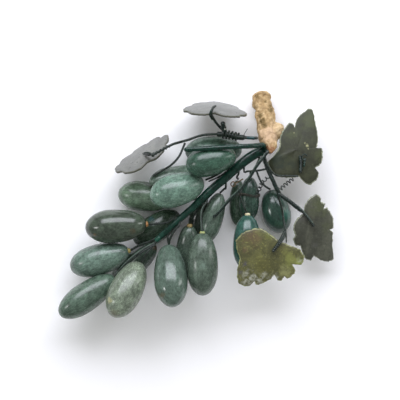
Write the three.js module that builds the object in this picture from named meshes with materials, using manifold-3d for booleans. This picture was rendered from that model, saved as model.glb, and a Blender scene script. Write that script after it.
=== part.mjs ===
// A bunch of carved stone finger grapes on wrapped wires, with thin carved leaves and a vine twig.
// Millimetres. The bunch lies on a table at z = 0: +X runs along its length, from the lowest
// grape to the leaves on the right, +Y runs towards the top of the twig and +Z is up.

import * as THREE from 'three';
import { mergeVertices } from 'three/addons/utils/BufferGeometryUtils.js';
import Module from 'manifold-3d';

const wasm = await Module();
wasm.setup();

// Driving dimensions of a grape
const GRAPE_SIDES = 12;
const GRAPE_RINGS = 8;
const GRAPE_BLUNTNESS = 2.25;
const GRAPE_FULLNESS = 0.1;
const DRILL_RADIUS = 2.3;
const DRILL_DEPTH = 2.4;

// The plug that fills a drilled end
const PLUG_RADIUS = 1.95;
const PLUG_LENGTH = 2.6;
const PLUG_SIDES = 8;

// Leaves
const LEAF_THICKNESS = 2.2;
const LEAF_RIM_THICKNESS = 1.4;
const LEAF_RINGS = 2;
const LEAF_STEPS_PER_SPAN = 2;
const LEAF_REACH = 24;
const LEAF_RIM_TENSION = 0.4;

// Wires and stems
const WIRE_SIDES = 6;
const WIRE_STEPS_PER_SPAN = 2;
const STEM_SIDES = 10;
const STEM_STEPS = 12;
const TWIG_SIDES = 12;
const TWIG_STEPS = 12;
const STUB_STEPS = 3;
const STUB_RADIUS = 1.7;

// The gap that is left between pieces which touch
const GAP = 0.3;

// Half the side of the block that grinds the flats on which the bunch rests
const GRIND_BLOCK = 150;

// From the middle of the bunch, where the places below are measured, to the middle of its box
const BOX_MIDDLE_X = -0.2;
const BOX_MIDDLE_Y = 1.2;

const GRAPE_UP = new THREE.Vector3(0, 1, 0);

// Corners closer than this are one corner when a piece is cut or joined
const MERGE_DISTANCE = 1e-4;

const STONE = {
  dark: 0x2b3a33,
  mid: 0x4b6457,
  pale: 0x6f9683,
  teal: 0x2f6156,
  grey: 0x5d6b60,
};
const THREAD = 0x1c2a22;
const STEM_GREEN = 0x14463a;
const STEM_PALE = 0x5f7468;
const LEAF_GREY = 0x4b4e41;
const LEAF_MOTTLED = 0x6f7448;
const PLUG_YELLOW = 0xc9a33a;
const WOOD = 0xd7b991;
const ROUGHNESS = { stone: 0.25, leaf: 0.35, stem: 0.45, plug: 0.5, thread: 0.7, wood: 0.8 };

const bunch = new THREE.Group();

function addPiece(name, geometry, colour, roughness) {
  const material = new THREE.MeshStandardMaterial({ color: colour, roughness, metalness: 0 });
  const mesh = new THREE.Mesh(geometry, material);
  mesh.name = name;
  bunch.add(mesh);
  return mesh;
}

// Joining and cutting

function toSolid(geometry) {
  const bare = geometry.clone();
  bare.deleteAttribute('normal');
  bare.deleteAttribute('uv');
  const merged = mergeVertices(bare, MERGE_DISTANCE);
  const mesh = new wasm.Mesh({
    numProp: 3,
    vertProperties: new Float32Array(merged.attributes.position.array),
    triVerts: new Uint32Array(merged.index.array),
  });
  mesh.merge();
  return new wasm.Manifold(mesh);
}

function toGeometry(solid) {
  const { vertProperties, triVerts } = solid.getMesh();
  const geometry = new THREE.BufferGeometry();
  geometry.setAttribute('position', new THREE.BufferAttribute(new Float32Array(vertProperties), 3));
  geometry.setIndex(new THREE.BufferAttribute(new Uint32Array(triVerts), 1));
  geometry.computeVertexNormals();
  return geometry;
}

function cut(geometry, tool) {
  return toGeometry(toSolid(geometry).subtract(toSolid(tool)));
}

// Takes off whatever of a placed piece is under the table top, which leaves it a small flat spot
function grindFlat(mesh) {
  mesh.updateMatrix();
  const block = new THREE.BoxGeometry(2 * GRIND_BLOCK, 2 * GRIND_BLOCK, 2 * GRIND_BLOCK);
  block.translate(0, 0, -GRIND_BLOCK);
  block.applyMatrix4(mesh.matrix.clone().invert());
  mesh.geometry = cut(mesh.geometry, block);
}

// Grapes: a long blunt egg turned about its own length, with its stem end at the bottom of +Y

function grapeRadius(along, halfWidth) {
  const roundness = Math.sqrt(Math.max(0, 1 - Math.abs(along) ** GRAPE_BLUNTNESS));
  const fullness = 1 + GRAPE_FULLNESS * along * (1 - along * along);
  return halfWidth * roundness * fullness;
}

function grapeGeometry(length, width) {
  const profile = [];
  for (let ring = 0; ring <= GRAPE_RINGS; ring += 1) {
    const along = -Math.cos((Math.PI * ring) / GRAPE_RINGS);
    const onAxis = ring === 0 || ring === GRAPE_RINGS;
    const radius = onAxis ? 0 : grapeRadius(along, width / 2);
    profile.push(new THREE.Vector2(radius, (along * length) / 2));
  }
  return new THREE.LatheGeometry(profile, GRAPE_SIDES);
}

function addPlug(name, tip, axis) {
  const half = PLUG_LENGTH / 2;
  const cylinder = new THREE.CylinderGeometry(PLUG_RADIUS, PLUG_RADIUS, PLUG_LENGTH, PLUG_SIDES);
  const plug = addPiece(name, cylinder, PLUG_YELLOW, ROUGHNESS.plug);
  const inHole = DRILL_DEPTH - GAP - half;
  plug.position.copy(tip).addScaledVector(axis, inHole);
  plug.quaternion.setFromUnitVectors(GRAPE_UP, axis);
}

function addGrape({ name, stem, free, width, colour, plug }) {
  const stemEnd = new THREE.Vector3(...stem);
  const freeEnd = new THREE.Vector3(...free);
  const axis = freeEnd.clone().sub(stemEnd);
  const length = axis.length();
  axis.normalize();
  let geometry = grapeGeometry(length, width);
  if (plug) {
    const drill = new THREE.CylinderGeometry(DRILL_RADIUS, DRILL_RADIUS, 2 * DRILL_DEPTH, PLUG_SIDES);
    drill.translate(0, -length / 2, 0);
    geometry = cut(geometry, drill);
    addPlug(plug, stemEnd, axis);
  }
  const mesh = addPiece(name, geometry, colour, ROUGHNESS.stone);
  mesh.position.copy(stemEnd).add(freeEnd).multiplyScalar(0.5);
  mesh.quaternion.setFromUnitVectors(GRAPE_UP, axis);
  mesh.updateMatrix();
  const lowest = new THREE.Box3().setFromBufferAttribute(
    geometry.clone().applyMatrix4(mesh.matrix).attributes.position,
  ).min.z;
  if (lowest < 0) {
    grindFlat(mesh);
  }
}

// The stem end is the drilled one. Heights let the outer ends lie down on the table.
const GRAPES = [
  {
    name: 'grape_far_left', plug: 'plug_far_left', colour: STONE.dark,
    stem: [-37.5, -14.3, 29], free: [-83.5, -17.2, 28], width: 24.8,
  },
  {
    name: 'grape_left_middle', plug: 'plug_left_middle', colour: STONE.mid,
    stem: [-51, -34.2, 23], free: [-95.2, -47.3, 18.5], width: 23.4,
  },
  {
    name: 'grape_left_low', colour: STONE.mid,
    stem: [-61.6, -54, 24.6], free: [-102.5, -82.2, 29.5], width: 21.8,
  },
  {
    name: 'grape_low_speckled', colour: STONE.grey,
    stem: [-42.3, -43, 30], free: [-62.2, -82.5, 43.5], width: 24.6,
  },
  {
    name: 'grape_low_middle', colour: STONE.mid,
    stem: [-21.4, -30, 28], free: [-17.8, -75, 47.5], width: 24.8,
  },
  {
    name: 'grape_low_right', plug: 'plug_low_right', colour: STONE.mid,
    stem: [4, -20.5, 37], free: [4, -67.5, 36], width: 23.2,
  },
  {
    name: 'grape_behind_low', plug: 'plug_behind_low', colour: STONE.grey,
    stem: [-5.5, -15, 22.8], free: [-9, -56.5, 8.5], width: 18,
  },
  {
    name: 'grape_slim_front', colour: STONE.pale,
    stem: [17.5, 9, 22], free: [6, -28.5, 21], width: 15.6,
  },
  {
    name: 'grape_slim_behind', colour: STONE.dark,
    stem: [4, 7, 11], free: [-1, -31, 5], width: 15.6,
  },
  {
    name: 'grape_behind_stem', colour: STONE.dark,
    stem: [-13.5, -6.5, 14], free: [-47.5, -28, 7.5], width: 21,
  },
  {
    name: 'grape_under_wires', colour: STONE.dark,
    stem: [-31.4, -30.2, 21.5], free: [-63, -58.5, 3.5], width: 18.6,
  },
  {
    name: 'grape_pale_front', colour: STONE.pale,
    stem: [4.9, 17.6, 28.8], free: [-34.5, 5.2, 40.5], width: 24.6,
  },
  {
    name: 'grape_pale_left', colour: STONE.pale,
    stem: [-19.5, 4.2, 8.2], free: [-59.5, 8.7, 12.2], width: 22.6,
  },
  {
    name: 'grape_grey_behind', colour: STONE.grey,
    stem: [-35.5, 17, 23.6], free: [2.5, 25.5, 4], width: 16.5,
  },
  {
    name: 'grape_top_front', colour: STONE.pale,
    stem: [28.7, 37.3, 37], free: [-8, 28.4, 42.5], width: 22.4,
  },
  {
    name: 'grape_top_behind', colour: STONE.mid,
    stem: [34, 42, 10.4], free: [-9, 40, 10.4], width: 21.8,
  },
  {
    name: 'grape_teal', plug: 'plug_teal', colour: STONE.teal,
    stem: [37.8, -7, 27.5], free: [37, -49, 26], width: 20.8,
  },
  {
    name: 'grape_right_dark', colour: STONE.dark,
    stem: [31, 19, 6.25], free: [31, -16, 6.25], width: 12.8,
  },
  {
    name: 'grape_right_coiled', colour: STONE.teal,
    stem: [40, 21, 18.8], free: [38.5, -13, 16.2], width: 14.6,
  },
  {
    name: 'grape_right_large', colour: STONE.mid,
    stem: [55.6, 11.5, 10.5], free: [63.8, -21, 10.5], width: 21.4,
  },
];

for (const grape of GRAPES) {
  addGrape(grape);
}

// Leaves: a closed sheet of stone about the point where its wire is tied. The rim is a list of
// lobe tips and notches, going round, and bend(x, y) is how far the sheet rises there. A curled
// sheet rises with the square of the distance from its middle, across and along the leaf.

function curled(across, along) {
  return (x, y) => across * x * x + along * y * y;
}

function leafGeometry(rim, bend) {
  const corners = rim.map(([x, y]) => new THREE.Vector3(x, y, 0));
  if (THREE.ShapeUtils.isClockWise(corners)) {
    corners.reverse();
  }
  const outline = new THREE.CatmullRomCurve3(corners, true, 'catmullrom', LEAF_RIM_TENSION);
  const rimSteps = LEAF_STEPS_PER_SPAN * rim.length;
  const edge = outline.getPoints(rimSteps).slice(0, rimSteps);
  const positions = [];
  const faces = [];
  const point = (x, y, side) => {
    const out = Math.min(1, Math.hypot(x, y) / LEAF_REACH);
    const thickness = THREE.MathUtils.lerp(LEAF_THICKNESS, LEAF_RIM_THICKNESS, out);
    positions.push(x, y, bend(x, y) + (side * thickness) / 2);
  };
  const ringStart = (side, ring) => {
    const sheetStart = side > 0 ? 0 : 1 + LEAF_RINGS * rimSteps;
    return sheetStart + 1 + (ring - 1) * rimSteps;
  };
  for (const side of [1, -1]) {
    point(0, 0, side);
    for (let ring = 1; ring <= LEAF_RINGS; ring += 1) {
      const share = ring / LEAF_RINGS;
      for (const corner of edge) {
        point(corner.x * share, corner.y * share, side);
      }
    }
  }
  for (let step = 0; step < rimSteps; step += 1) {
    const next = (step + 1) % rimSteps;
    for (const side of [1, -1]) {
      const turned = (a, b, c) => faces.push(...(side > 0 ? [a, b, c] : [a, c, b]));
      const first = ringStart(side, 1);
      turned(first - 1, first + step, first + next);
      for (let ring = 1; ring < LEAF_RINGS; ring += 1) {
        const inner = ringStart(side, ring);
        const outer = ringStart(side, ring + 1);
        turned(inner + step, outer + step, outer + next);
        turned(inner + step, outer + next, inner + next);
      }
    }
    const top = ringStart(1, LEAF_RINGS);
    const under = ringStart(-1, LEAF_RINGS);
    faces.push(top + step, under + step, under + next);
    faces.push(top + step, under + next, top + next);
  }
  const geometry = new THREE.BufferGeometry();
  geometry.setAttribute('position', new THREE.Float32BufferAttribute(positions, 3));
  geometry.setIndex(faces);
  geometry.computeVertexNormals();
  return geometry;
}

function addLeaf({ name, rim, bend, at, turn, colour }) {
  const mesh = addPiece(name, leafGeometry(rim, bend), colour, ROUGHNESS.leaf);
  mesh.position.set(...at);
  mesh.rotation.set(...turn.map(THREE.MathUtils.degToRad), 'ZXY');
}

// A vine leaf of five lobes with its tip at +Y and the notch of its stalk at -Y, for the two
// leaves that stand on edge
const VINE_RIM = [
  [0, 21], [4.5, 19.8], [7.5, 17], [11, 17.2], [15.5, 14.8], [17.8, 11], [18.8, 7], [21.8, 5.8],
  [24, 1], [22.8, -5], [19.6, -8], [18, -12], [13, -15.6], [7.5, -17], [3.8, -15.8], [0, -14],
  [-3.8, -15.8], [-8, -17], [-14, -15.2], [-18.5, -11.5], [-19.6, -7.5], [-22.8, -4.6],
  [-23.5, 1.5], [-21.2, 6.5], [-18.4, 7.8], [-17.4, 11.2], [-15, 14.8], [-10, 16.6],
  [-6.8, 16.4], [-4, 19.4],
];
const BIG_RIM = [
  [9.4, 31.2], [13.2, 30.4], [14.8, 21], [16.8, 8.5], [15.3, 1.9], [19.2, 1.6], [20, -1.5], [19.2, -9.8],
  [14.6, -13.5], [17.1, -17.3], [15.4, -22.5], [10, -26], [5.3, -23.6], [2, -20.3], [-4.5, -21],
  [-14.3, -20.3], [-19.5, -14.3], [-20.6, -8.6], [-17.3, -4.9], [-13.1, 1.5], [-12.4, 9],
  [-10.6, 14], [-7.8, 17.4], [-4.9, 20.5], [-2.4, 19.8], [-1.2, 17.2], [0.6, 23], [3.2, 26.4],
  [6, 28.7],
];
const RIGHT_RIM = [
  [2.2, 25.4], [6, 22.5], [5.8, 19.9], [9.4, 18], [7.9, 14.6], [10.9, 15], [14.8, 8.7], [16, 3.8],
  [15.6, -0.8], [13.4, -1.9], [15.6, -4.5], [15.4, -12.5], [16.8, -24], [14.8, -26.5], [11.3, -26.7],
  [5.9, -25.1], [1.1, -22.1], [-1.1, -25.3], [-5.3, -23.6], [-7.9, -18.4], [-9.9, -13.1],
  [-13.1, -13.5], [-15, -8.3], [-13.5, -5.3], [-15.1, -0.8], [-14.6, 3.8], [-11.3, 8.3], [-7.1, 12],
  [-6.8, 16.5], [-2.7, 22.5],
];
const FRONT_RIM = [
  [-17, 19.5], [-8.9, 21.8], [-2.9, 20.3], [6.6, 13.1], [17.4, 8.3], [23.4, 5.6], [26.3, 0],
  [24.3, -5.6], [18, -5.3], [19.5, -8.6], [19.1, -12], [14.4, -16.3], [11.8, -14.3], [10.1, -16.9],
  [6.8, -17.3], [4.1, -12.8], [1.5, -16.5], [-5.9, -20.3], [-9.4, -20.3], [-10.9, -18.4],
  [-14.3, -21.6], [-18.8, -21.9], [-22.7, -18.8], [-23.6, -9.8], [-21.8, -1.5], [-24, 6],
  [-24.4, 12], [-21.8, 16.1],
];

// The big leaf's lower left lobe rolls down past a fold line
const BIG_FOLD_X = -10;
const BIG_FOLD_CURL = 0.05;
function bigLeafBend(x, y) {
  return curled(0, -0.003)(x, y) - BIG_FOLD_CURL * Math.max(0, BIG_FOLD_X - x) ** 2;
}

const LEAVES = [
  {
    name: 'leaf_top', rim: VINE_RIM, at: [13.5, 73, 24], turn: [-72, 0, -4], colour: LEAF_GREY,
    bend: curled(-0.006, -0.003),
  },
  {
    name: 'leaf_left', rim: VINE_RIM, at: [-40.5, 37, 24.5], turn: [-66, 0, 33], colour: LEAF_GREY,
    bend: curled(0.004, -0.003),
  },
  {
    name: 'leaf_big', rim: BIG_RIM, at: [74.3, 41.3, 30], turn: [-6, 8, 0], colour: LEAF_GREY,
    bend: bigLeafBend,
  },
  {
    name: 'leaf_right', rim: RIGHT_RIM, at: [87, -17.3, 26], turn: [10, 10, 0], colour: LEAF_GREY,
    bend: curled(-0.006, -0.003),
  },
  {
    name: 'leaf_front', rim: FRONT_RIM, at: [53.3, -39, 39.5], turn: [6, 0, 0], colour: LEAF_MOTTLED,
    bend: curled(-0.004, -0.003),
  },
];

for (const leaf of LEAVES) {
  addLeaf(leaf);
}

// Rods whose thickness changes along them: the main stem and the twig

function rodGeometry(path, radiusAt, sides, steps) {
  const curve = new THREE.CatmullRomCurve3(path.map((p) => new THREE.Vector3(...p)));
  const frames = curve.computeFrenetFrames(steps, false);
  const positions = [];
  const faces = [];
  for (let step = 0; step <= steps; step += 1) {
    const along = step / steps;
    const centre = curve.getPointAt(along);
    for (let side = 0; side < sides; side += 1) {
      const angle = (2 * Math.PI * side) / sides;
      const radius = radiusAt(along, angle);
      const spoke = frames.normals[step].clone().multiplyScalar(Math.cos(angle) * radius);
      spoke.addScaledVector(frames.binormals[step], Math.sin(angle) * radius);
      positions.push(...centre.clone().add(spoke).toArray());
    }
  }
  const ends = [0, steps].map((step) => {
    positions.push(...curve.getPointAt(step / steps).toArray());
    return positions.length / 3 - 1;
  });
  for (let side = 0; side < sides; side += 1) {
    const next = (side + 1) % sides;
    for (let step = 0; step < steps; step += 1) {
      const here = step * sides;
      const there = here + sides;
      faces.push(here + side, here + next, there + next);
      faces.push(here + side, there + next, there + side);
    }
    faces.push(ends[0], next, side);
    faces.push(ends[1], steps * sides + side, steps * sides + next);
  }
  const geometry = new THREE.BufferGeometry();
  geometry.setAttribute('position', new THREE.Float32BufferAttribute(positions, 3));
  geometry.setIndex(faces);
  geometry.computeVertexNormals();
  return geometry;
}

// Reads a radius off a short list of radii spread evenly along a rod
function blend(values, along) {
  const place = along * (values.length - 1);
  const before = Math.min(Math.floor(place), values.length - 2);
  return THREE.MathUtils.lerp(values[before], values[before + 1], place - before);
}

const MAIN_STEM_PATH = [
  [50, 41, 30], [41.5, 37, 31], [31.5, 29.5, 31], [22, 21, 31], [11.5, 12, 31], [-2.5, -1.5, 30.5],
  [-14, -11.5, 30], [-25.5, -22, 29], [-29.5, -25.5, 28.5],
];
const MAIN_STEM_RADII = [3.8, 3.7, 3.5, 3.3, 3.2, 2.9, 2.6, 2.4, 2.1];
addPiece(
  'stem_main',
  rodGeometry(MAIN_STEM_PATH, (along) => blend(MAIN_STEM_RADII, along), STEM_SIDES, STEM_STEPS),
  STEM_GREEN,
  ROUGHNESS.stem,
);

const TWIG_PATH = [
  [48.5, 85, 6.6], [49, 79.5, 8.5], [50.5, 74, 12], [51, 69, 14.5], [52, 61, 18.5], [53.3, 53.3, 22.5],
  [53, 48, 25.5], [54.5, 43.5, 29], [55, 39, 32],
];
const TWIG_RADII = [6.9, 7.4, 7.2, 7.3, 7.6, 7.1, 6.6, 4.2, 1.7];
const BARK_RIDGES = 5;
const BARK_DEPTH = 0.04;
const BARK_TWIST = 4;
function twigRadius(along, angle) {
  const ridge = Math.cos(BARK_RIDGES * angle + BARK_TWIST * along);
  return blend(TWIG_RADII, along) * (1 + BARK_DEPTH * ridge);
}
const twigBody = rodGeometry(TWIG_PATH, twigRadius, TWIG_SIDES, TWIG_STEPS);
const STUB_PATH = [[55, 59.5, 19.5], [60, 59.8, 20.5], [64, 59.3, 22]];
const stub = rodGeometry(STUB_PATH, () => STUB_RADIUS, STEM_SIDES, STUB_STEPS);
const twig = addPiece('twig', toGeometry(toSolid(twigBody).add(toSolid(stub))), WOOD, ROUGHNESS.wood);
grindFlat(twig);

// Wires: round wire, wrapped with thread, along a route bent by hand

function addWire([name, radius, route, colour = THREAD]) {
  const curve = new THREE.CatmullRomCurve3(route.map((p) => new THREE.Vector3(...p)));
  const section = new THREE.Shape();
  for (let side = 0; side < WIRE_SIDES; side += 1) {
    const angle = (2 * Math.PI * side) / WIRE_SIDES;
    const corner = [radius * Math.cos(angle), radius * Math.sin(angle)];
    if (side === 0) {
      section.moveTo(...corner);
    } else {
      section.lineTo(...corner);
    }
  }
  section.closePath();
  const geometry = new THREE.ExtrudeGeometry(section, {
    steps: WIRE_STEPS_PER_SPAN * (route.length - 1),
    bevelEnabled: false,
    extrudePath: curve,
  });
  addPiece(name, geometry, colour, ROUGHNESS.thread);
}

// Name, radius, route, and a colour where it isn't the dark thread
const WIRES = [
  ['wire_top_root', 1.3, [[44, 50, 29], [39, 50.2, 28], [35.3, 50.5, 27.5]]],
  ['wrapping_top', 2.1, [[34.8, 50.5, 27.5], [28, 51, 27.5], [22, 52.8, 27.5], [16, 53, 27]]],
  ['wire_leaf_left', 1, [
    [15.4, 53, 27], [4, 52.3, 25.5], [-7, 48.6, 27.5], [-13.5, 46.6, 34], [-19, 44.6, 41.5],
    [-25, 41.3, 44], [-30, 38.7, 44], [-34, 37.4, 42], [-37.5, 37.6, 36.5], [-39.6, 38.3, 29.5],
  ]],
  ['wire_leaf_top', 1, [
    [19, 56.3, 27.5], [14.5, 61, 31.5], [11.5, 65.5, 37.5], [10.6, 68, 42], [11.6, 71.6, 41.3],
    [13, 73.2, 37], [13.5, 73.7, 33.5],
  ]],
  ['wire_grey_behind', 0.9, [
    [-9.5, 45.3, 22], [-13.5, 36.3, 24], [-19.3, 30, 26], [-25, 26.3, 27.5], [-32, 22.3, 28],
  ]],
  ['stem_smooth', 1.9, [
    [49.3, 44.6, 35.2], [40, 43.7, 42.3], [25, 43, 47], [10, 42, 49.5], [-8, 41, 47.6],
  ], STEM_GREEN],
  ['wire_pale_front', 0.8, [[21, 26.6, 31], [15.5, 22.8, 30.5], [7.6, 19.2, 29.3]]],
  ['wire_pale_left', 0.8, [[0.5, 4.8, 27.5], [-4, 4, 20], [-10, 4.5, 13], [-18, 4.2, 9.2]]],
  ['wire_far_left', 0.9, [
    [-36.3, -14.4, 29.2], [-30, -13.8, 31], [-23, -13.3, 31.8], [-18, -11, 31.5],
  ]],
  ['wire_left_middle', 0.9, [
    [-49.7, -33.7, 23.4], [-42, -29.5, 25.2], [-35, -27.1, 27.3], [-32.3, -25.6, 28.3],
  ]],
  ['wire_left_low', 1.1, [
    [-31.7, -28.6, 29.3], [-40.5, -33.5, 30.2], [-53.3, -43.9, 28.6], [-60.5, -52.6, 25.8],
  ]],
  ['wire_low_speckled', 0.8, [
    [-34.5, -32.6, 31.5], [-37.3, -35.3, 32.5], [-39, -38.5, 32.2], [-41.1, -41.6, 30.4],
  ]],
  ['wire_low_middle', 0.9, [
    [-13.5, -15, 32], [-16.7, -19, 32], [-20, -25, 30.5], [-21.1, -28.6, 28.6],
  ]],
  ['wire_behind_low', 0.8, [[0, -4.7, 28], [-3, -9, 25.8], [-5.1, -13.6, 23.2]]],
  ['wire_low_right', 0.9, [[7.2, 2.2, 31.5], [4, -3, 33.8], [3.2, -11, 36.5], [4, -19, 37.4]]],
  ['wire_slim_front', 0.8, [[21.5, 13, 27.5], [19, 10.8, 24], [18, 9.8, 22.6]]],
  ['stem_front', 1.2, [
    [52.5, 39.8, 37], [48.8, 35, 38], [43.5, 27.8, 38], [39, 20.3, 37], [32.3, 12, 36], [24, 3.8, 34.5],
    [17.3, -4, 32.8], [13.2, -8.2, 31.5],
  ], STEM_PALE],
  ['wire_right_dark', 0.8, [[31, 23.5, 27.5], [30, 21, 20], [30.8, 19.8, 12], [31, 19.7, 8]]],
  ['wire_right_coiled', 0.8, [[39.8, 24, 30], [40, 22.4, 25], [40, 21.3, 20.3]]],
  ['wire_cross', 0.8, [[35.2, 25, 30.5], [40.5, 25.3, 31.5], [46, 25.8, 32.5], [49.8, 26.5, 33]]],
  ['wire_tie', 0.7, [[46, 34, 31], [44.5, 30.5, 33], [43.2, 27, 33.5]]],
  ['wire_right_large', 0.8, [[44.8, 24.2, 32], [47.5, 18, 28], [51.4, 14, 19.5], [54.6, 12.2, 12]]],
  ['stem_right', 1.6, [
    [50.2, 34.5, 32], [52.5, 27, 33], [55.5, 20.5, 33.5], [58.5, 14, 33], [61.5, 8.3, 32],
  ], STEM_GREEN],
  ['wire_leaf_right', 1.2, [
    [63.2, 7, 31.8], [67, 4.2, 31.2], [72, 0.4, 31], [78, -4, 31], [84, -11, 31], [86.5, -14.8, 30.8],
  ]],
  ['wire_leaf_front', 0.9, [
    [60.9, 5.2, 30.5], [63, -0.8, 28.5], [64.5, -9.8, 26], [65.8, -18, 32], [65.2, -22, 38.5],
    [63.5, -25.3, 43], [60.5, -29.5, 43.6], [57, -33.5, 43.3],
  ]],
  ['wire_leaf_big', 0.8, [
    [51, 34, 36], [54, 27, 36], [58.5, 22.3, 35.8], [66, 21.8, 34], [74, 21.6, 34],
  ]],
  ['wrapping_leaf_big', 1.4, [[77, 25.5, 34], [77.3, 30, 34], [76.8, 35.5, 34]], STEM_GREEN],
  ['wire_teal', 0.7, [[32.5, 5.5, 29.5], [35, -1, 29.2], [37.4, -5.8, 28.2]]],
];

for (const wire of WIRES) {
  addWire(wire);
}

bunch.position.set(-BOX_MIDDLE_X, -BOX_MIDDLE_Y, 0);

export default bunch;
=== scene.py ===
# %% [markdown]
# # A bunch of stone grapes on wrapped wires
#
# The real object is a table ornament from a workshop that cuts hardstone. Twenty long grapes and five
# thin vine leaves are ground and polished from green stone. Every one of them sits on a wire that is
# wound with dark thread, and all the wires meet in a thick green stem at the foot of a short vine twig.
# The bunch lies on a table and the camera looks straight down on it.
#
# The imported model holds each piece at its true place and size. This lesson reads it, measures its
# pieces and builds a finer, finished piece over each of them.

import math

import bmesh
import bpy
import numpy as np
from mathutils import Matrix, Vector, noise


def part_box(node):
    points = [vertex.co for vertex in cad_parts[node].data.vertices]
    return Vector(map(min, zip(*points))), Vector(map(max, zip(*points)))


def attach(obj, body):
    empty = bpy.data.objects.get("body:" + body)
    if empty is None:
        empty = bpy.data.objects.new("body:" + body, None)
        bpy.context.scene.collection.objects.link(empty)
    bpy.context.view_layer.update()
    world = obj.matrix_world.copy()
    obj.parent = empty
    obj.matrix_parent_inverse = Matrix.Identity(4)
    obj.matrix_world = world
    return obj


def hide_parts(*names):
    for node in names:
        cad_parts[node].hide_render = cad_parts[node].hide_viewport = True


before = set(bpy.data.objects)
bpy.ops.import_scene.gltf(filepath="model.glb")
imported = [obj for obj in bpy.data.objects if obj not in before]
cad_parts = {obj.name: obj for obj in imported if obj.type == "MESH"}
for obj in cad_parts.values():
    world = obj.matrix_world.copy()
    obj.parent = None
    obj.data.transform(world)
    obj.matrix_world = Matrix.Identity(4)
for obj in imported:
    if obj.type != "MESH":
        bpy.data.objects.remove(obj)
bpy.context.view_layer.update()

# %% [markdown]
# ## Places on the bunch
#
# Sizes are easiest to read in millimetres, and a bunch is easiest to describe from its own middle.
# Blender works in metres, so one small function turns the first into the second. The middle of the
# bunch lies a little off the middle of its box, and that is the shift below.

# %% Millimetres from the middle of the bunch
MM = 0.001
MIDDLE = Vector((0.2, -1.2, 0.0))


def spot(place):
    """A place in millimetres from the middle of the bunch, as a point of the frame in metres."""
    return (Vector(place) + MIDDLE) * MM


def spots(places):
    return [spot(place) for place in places]


# %% [markdown]
# ## Camera
#
# None of the grapes looks shortened, whichever way it points, so the photograph was taken from
# straight above. A long lens from far away keeps the grapes on top from looking larger than the ones
# on the table. The picture is square and covers 300 mm of the table, measured halfway up the bunch.

# %% A long lens straight above
VIEW_MIDDLE = spot((2.25, 3.75, 22.0))
VIEW_WIDTH = 300 * MM
SENSOR = 36.0
LENS = 190.0

camera_data = bpy.data.cameras.new("camera")
camera_data.sensor_width = SENSOR
camera_data.lens = LENS
camera = bpy.data.objects.new("camera", camera_data)
bpy.context.scene.collection.objects.link(camera)
bpy.context.scene.camera = camera
camera.location = VIEW_MIDDLE + Vector((0, 0, VIEW_WIDTH * LENS / SENSOR))
print("camera height, mm:", round(camera.location.z * 1000))

# %% [markdown]
# ## Table and light
#
# Polished stone shows the room. In the photograph every grape carries the same reflections: a broad
# bluish bar towards the top of the picture, which is a wide soft light, a small glint at its left
# end, which is a little light low on the left, a faint streak on its right, and a grey rim, which is
# the white table seen at a flat angle. So the room is an even white world, the wide lamp shades the
# bunch from the top of the picture, and the two little lamps only add their reflections: they are
# hidden from dull surfaces. The table comes first.

# %% White table
FLOOR_SIZE = 4.0
TABLE_COLOUR = (0.97, 0.97, 0.97)
TABLE_ROUGHNESS = 0.9


def plain_finish(name, colour, roughness):
    """A material with one even colour, for what isn't part of the ornament."""
    material = bpy.data.materials.new(name)
    material.use_nodes = True
    shader = material.node_tree.nodes["Principled BSDF"]
    shader.inputs["Base Color"].default_value = (*colour, 1)
    shader.inputs["Roughness"].default_value = roughness
    return material


def lay_table():
    mesh = bpy.data.meshes.new("table")
    half = FLOOR_SIZE / 2
    corners = [(-half, -half, 0), (half, -half, 0), (half, half, 0), (-half, half, 0)]
    mesh.from_pydata(corners, [], [(0, 1, 2, 3)])
    mesh.materials.append(plain_finish("table_white", TABLE_COLOUR, TABLE_ROUGHNESS))
    table = bpy.data.objects.new("table", mesh)
    bpy.context.scene.collection.objects.link(table)


lay_table()
print("table, m:", FLOOR_SIZE)

# %% [markdown]
# ## Room and lamps
#
# The room is the world around the table. A polished stone would mirror a white ceiling and look milky,
# so the world's strength is lower for rays that are reflections than it is for plain light. Each lamp
# is a rectangle that faces the bunch. It is placed by how far it is tilted off the zenith, towards
# which side of the picture (0 is right, 90 is the top), and how far away it hangs, in metres.

# %% Pale room and three lamps
ROOM_BRIGHTNESS = 0.6
ROOM_REFLECTION = 0.2


def light_the_room():
    world = bpy.data.worlds.new("room")
    bpy.context.scene.world = world
    world.use_nodes = True
    tree = world.node_tree
    rays = tree.nodes.new("ShaderNodeLightPath")
    share = tree.nodes.new("ShaderNodeMapRange")
    share.inputs["To Min"].default_value = ROOM_BRIGHTNESS
    share.inputs["To Max"].default_value = ROOM_REFLECTION
    tree.links.new(rays.outputs["Is Glossy Ray"], share.inputs["Value"])
    background = tree.nodes["Background"]
    background.inputs["Color"].default_value = (1, 1, 1, 1)
    tree.links.new(share.outputs["Result"], background.inputs["Strength"])


def hang_lamp(name, tilt_deg, towards_deg, distance, width, height, watts, reflection_only=True):
    """An area lamp that faces the bunch, tilted off the zenith towards a side of the picture."""
    data = bpy.data.lights.new(name, "AREA")
    data.shape = "RECTANGLE"
    data.size, data.size_y = width, height
    data.energy = watts
    lamp = bpy.data.objects.new(name, data)
    bpy.context.scene.collection.objects.link(lamp)
    tilt, side = math.radians(tilt_deg), math.radians(towards_deg)
    direction = Vector((math.sin(tilt) * math.cos(side), math.sin(tilt) * math.sin(side), math.cos(tilt)))
    lamp.location = VIEW_MIDDLE + direction * distance
    lamp.rotation_mode = "QUATERNION"
    lamp.rotation_quaternion = direction.to_track_quat("Z", "Y")
    lamp.visible_diffuse = not reflection_only
    lamp.visible_camera = False
    return lamp


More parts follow.
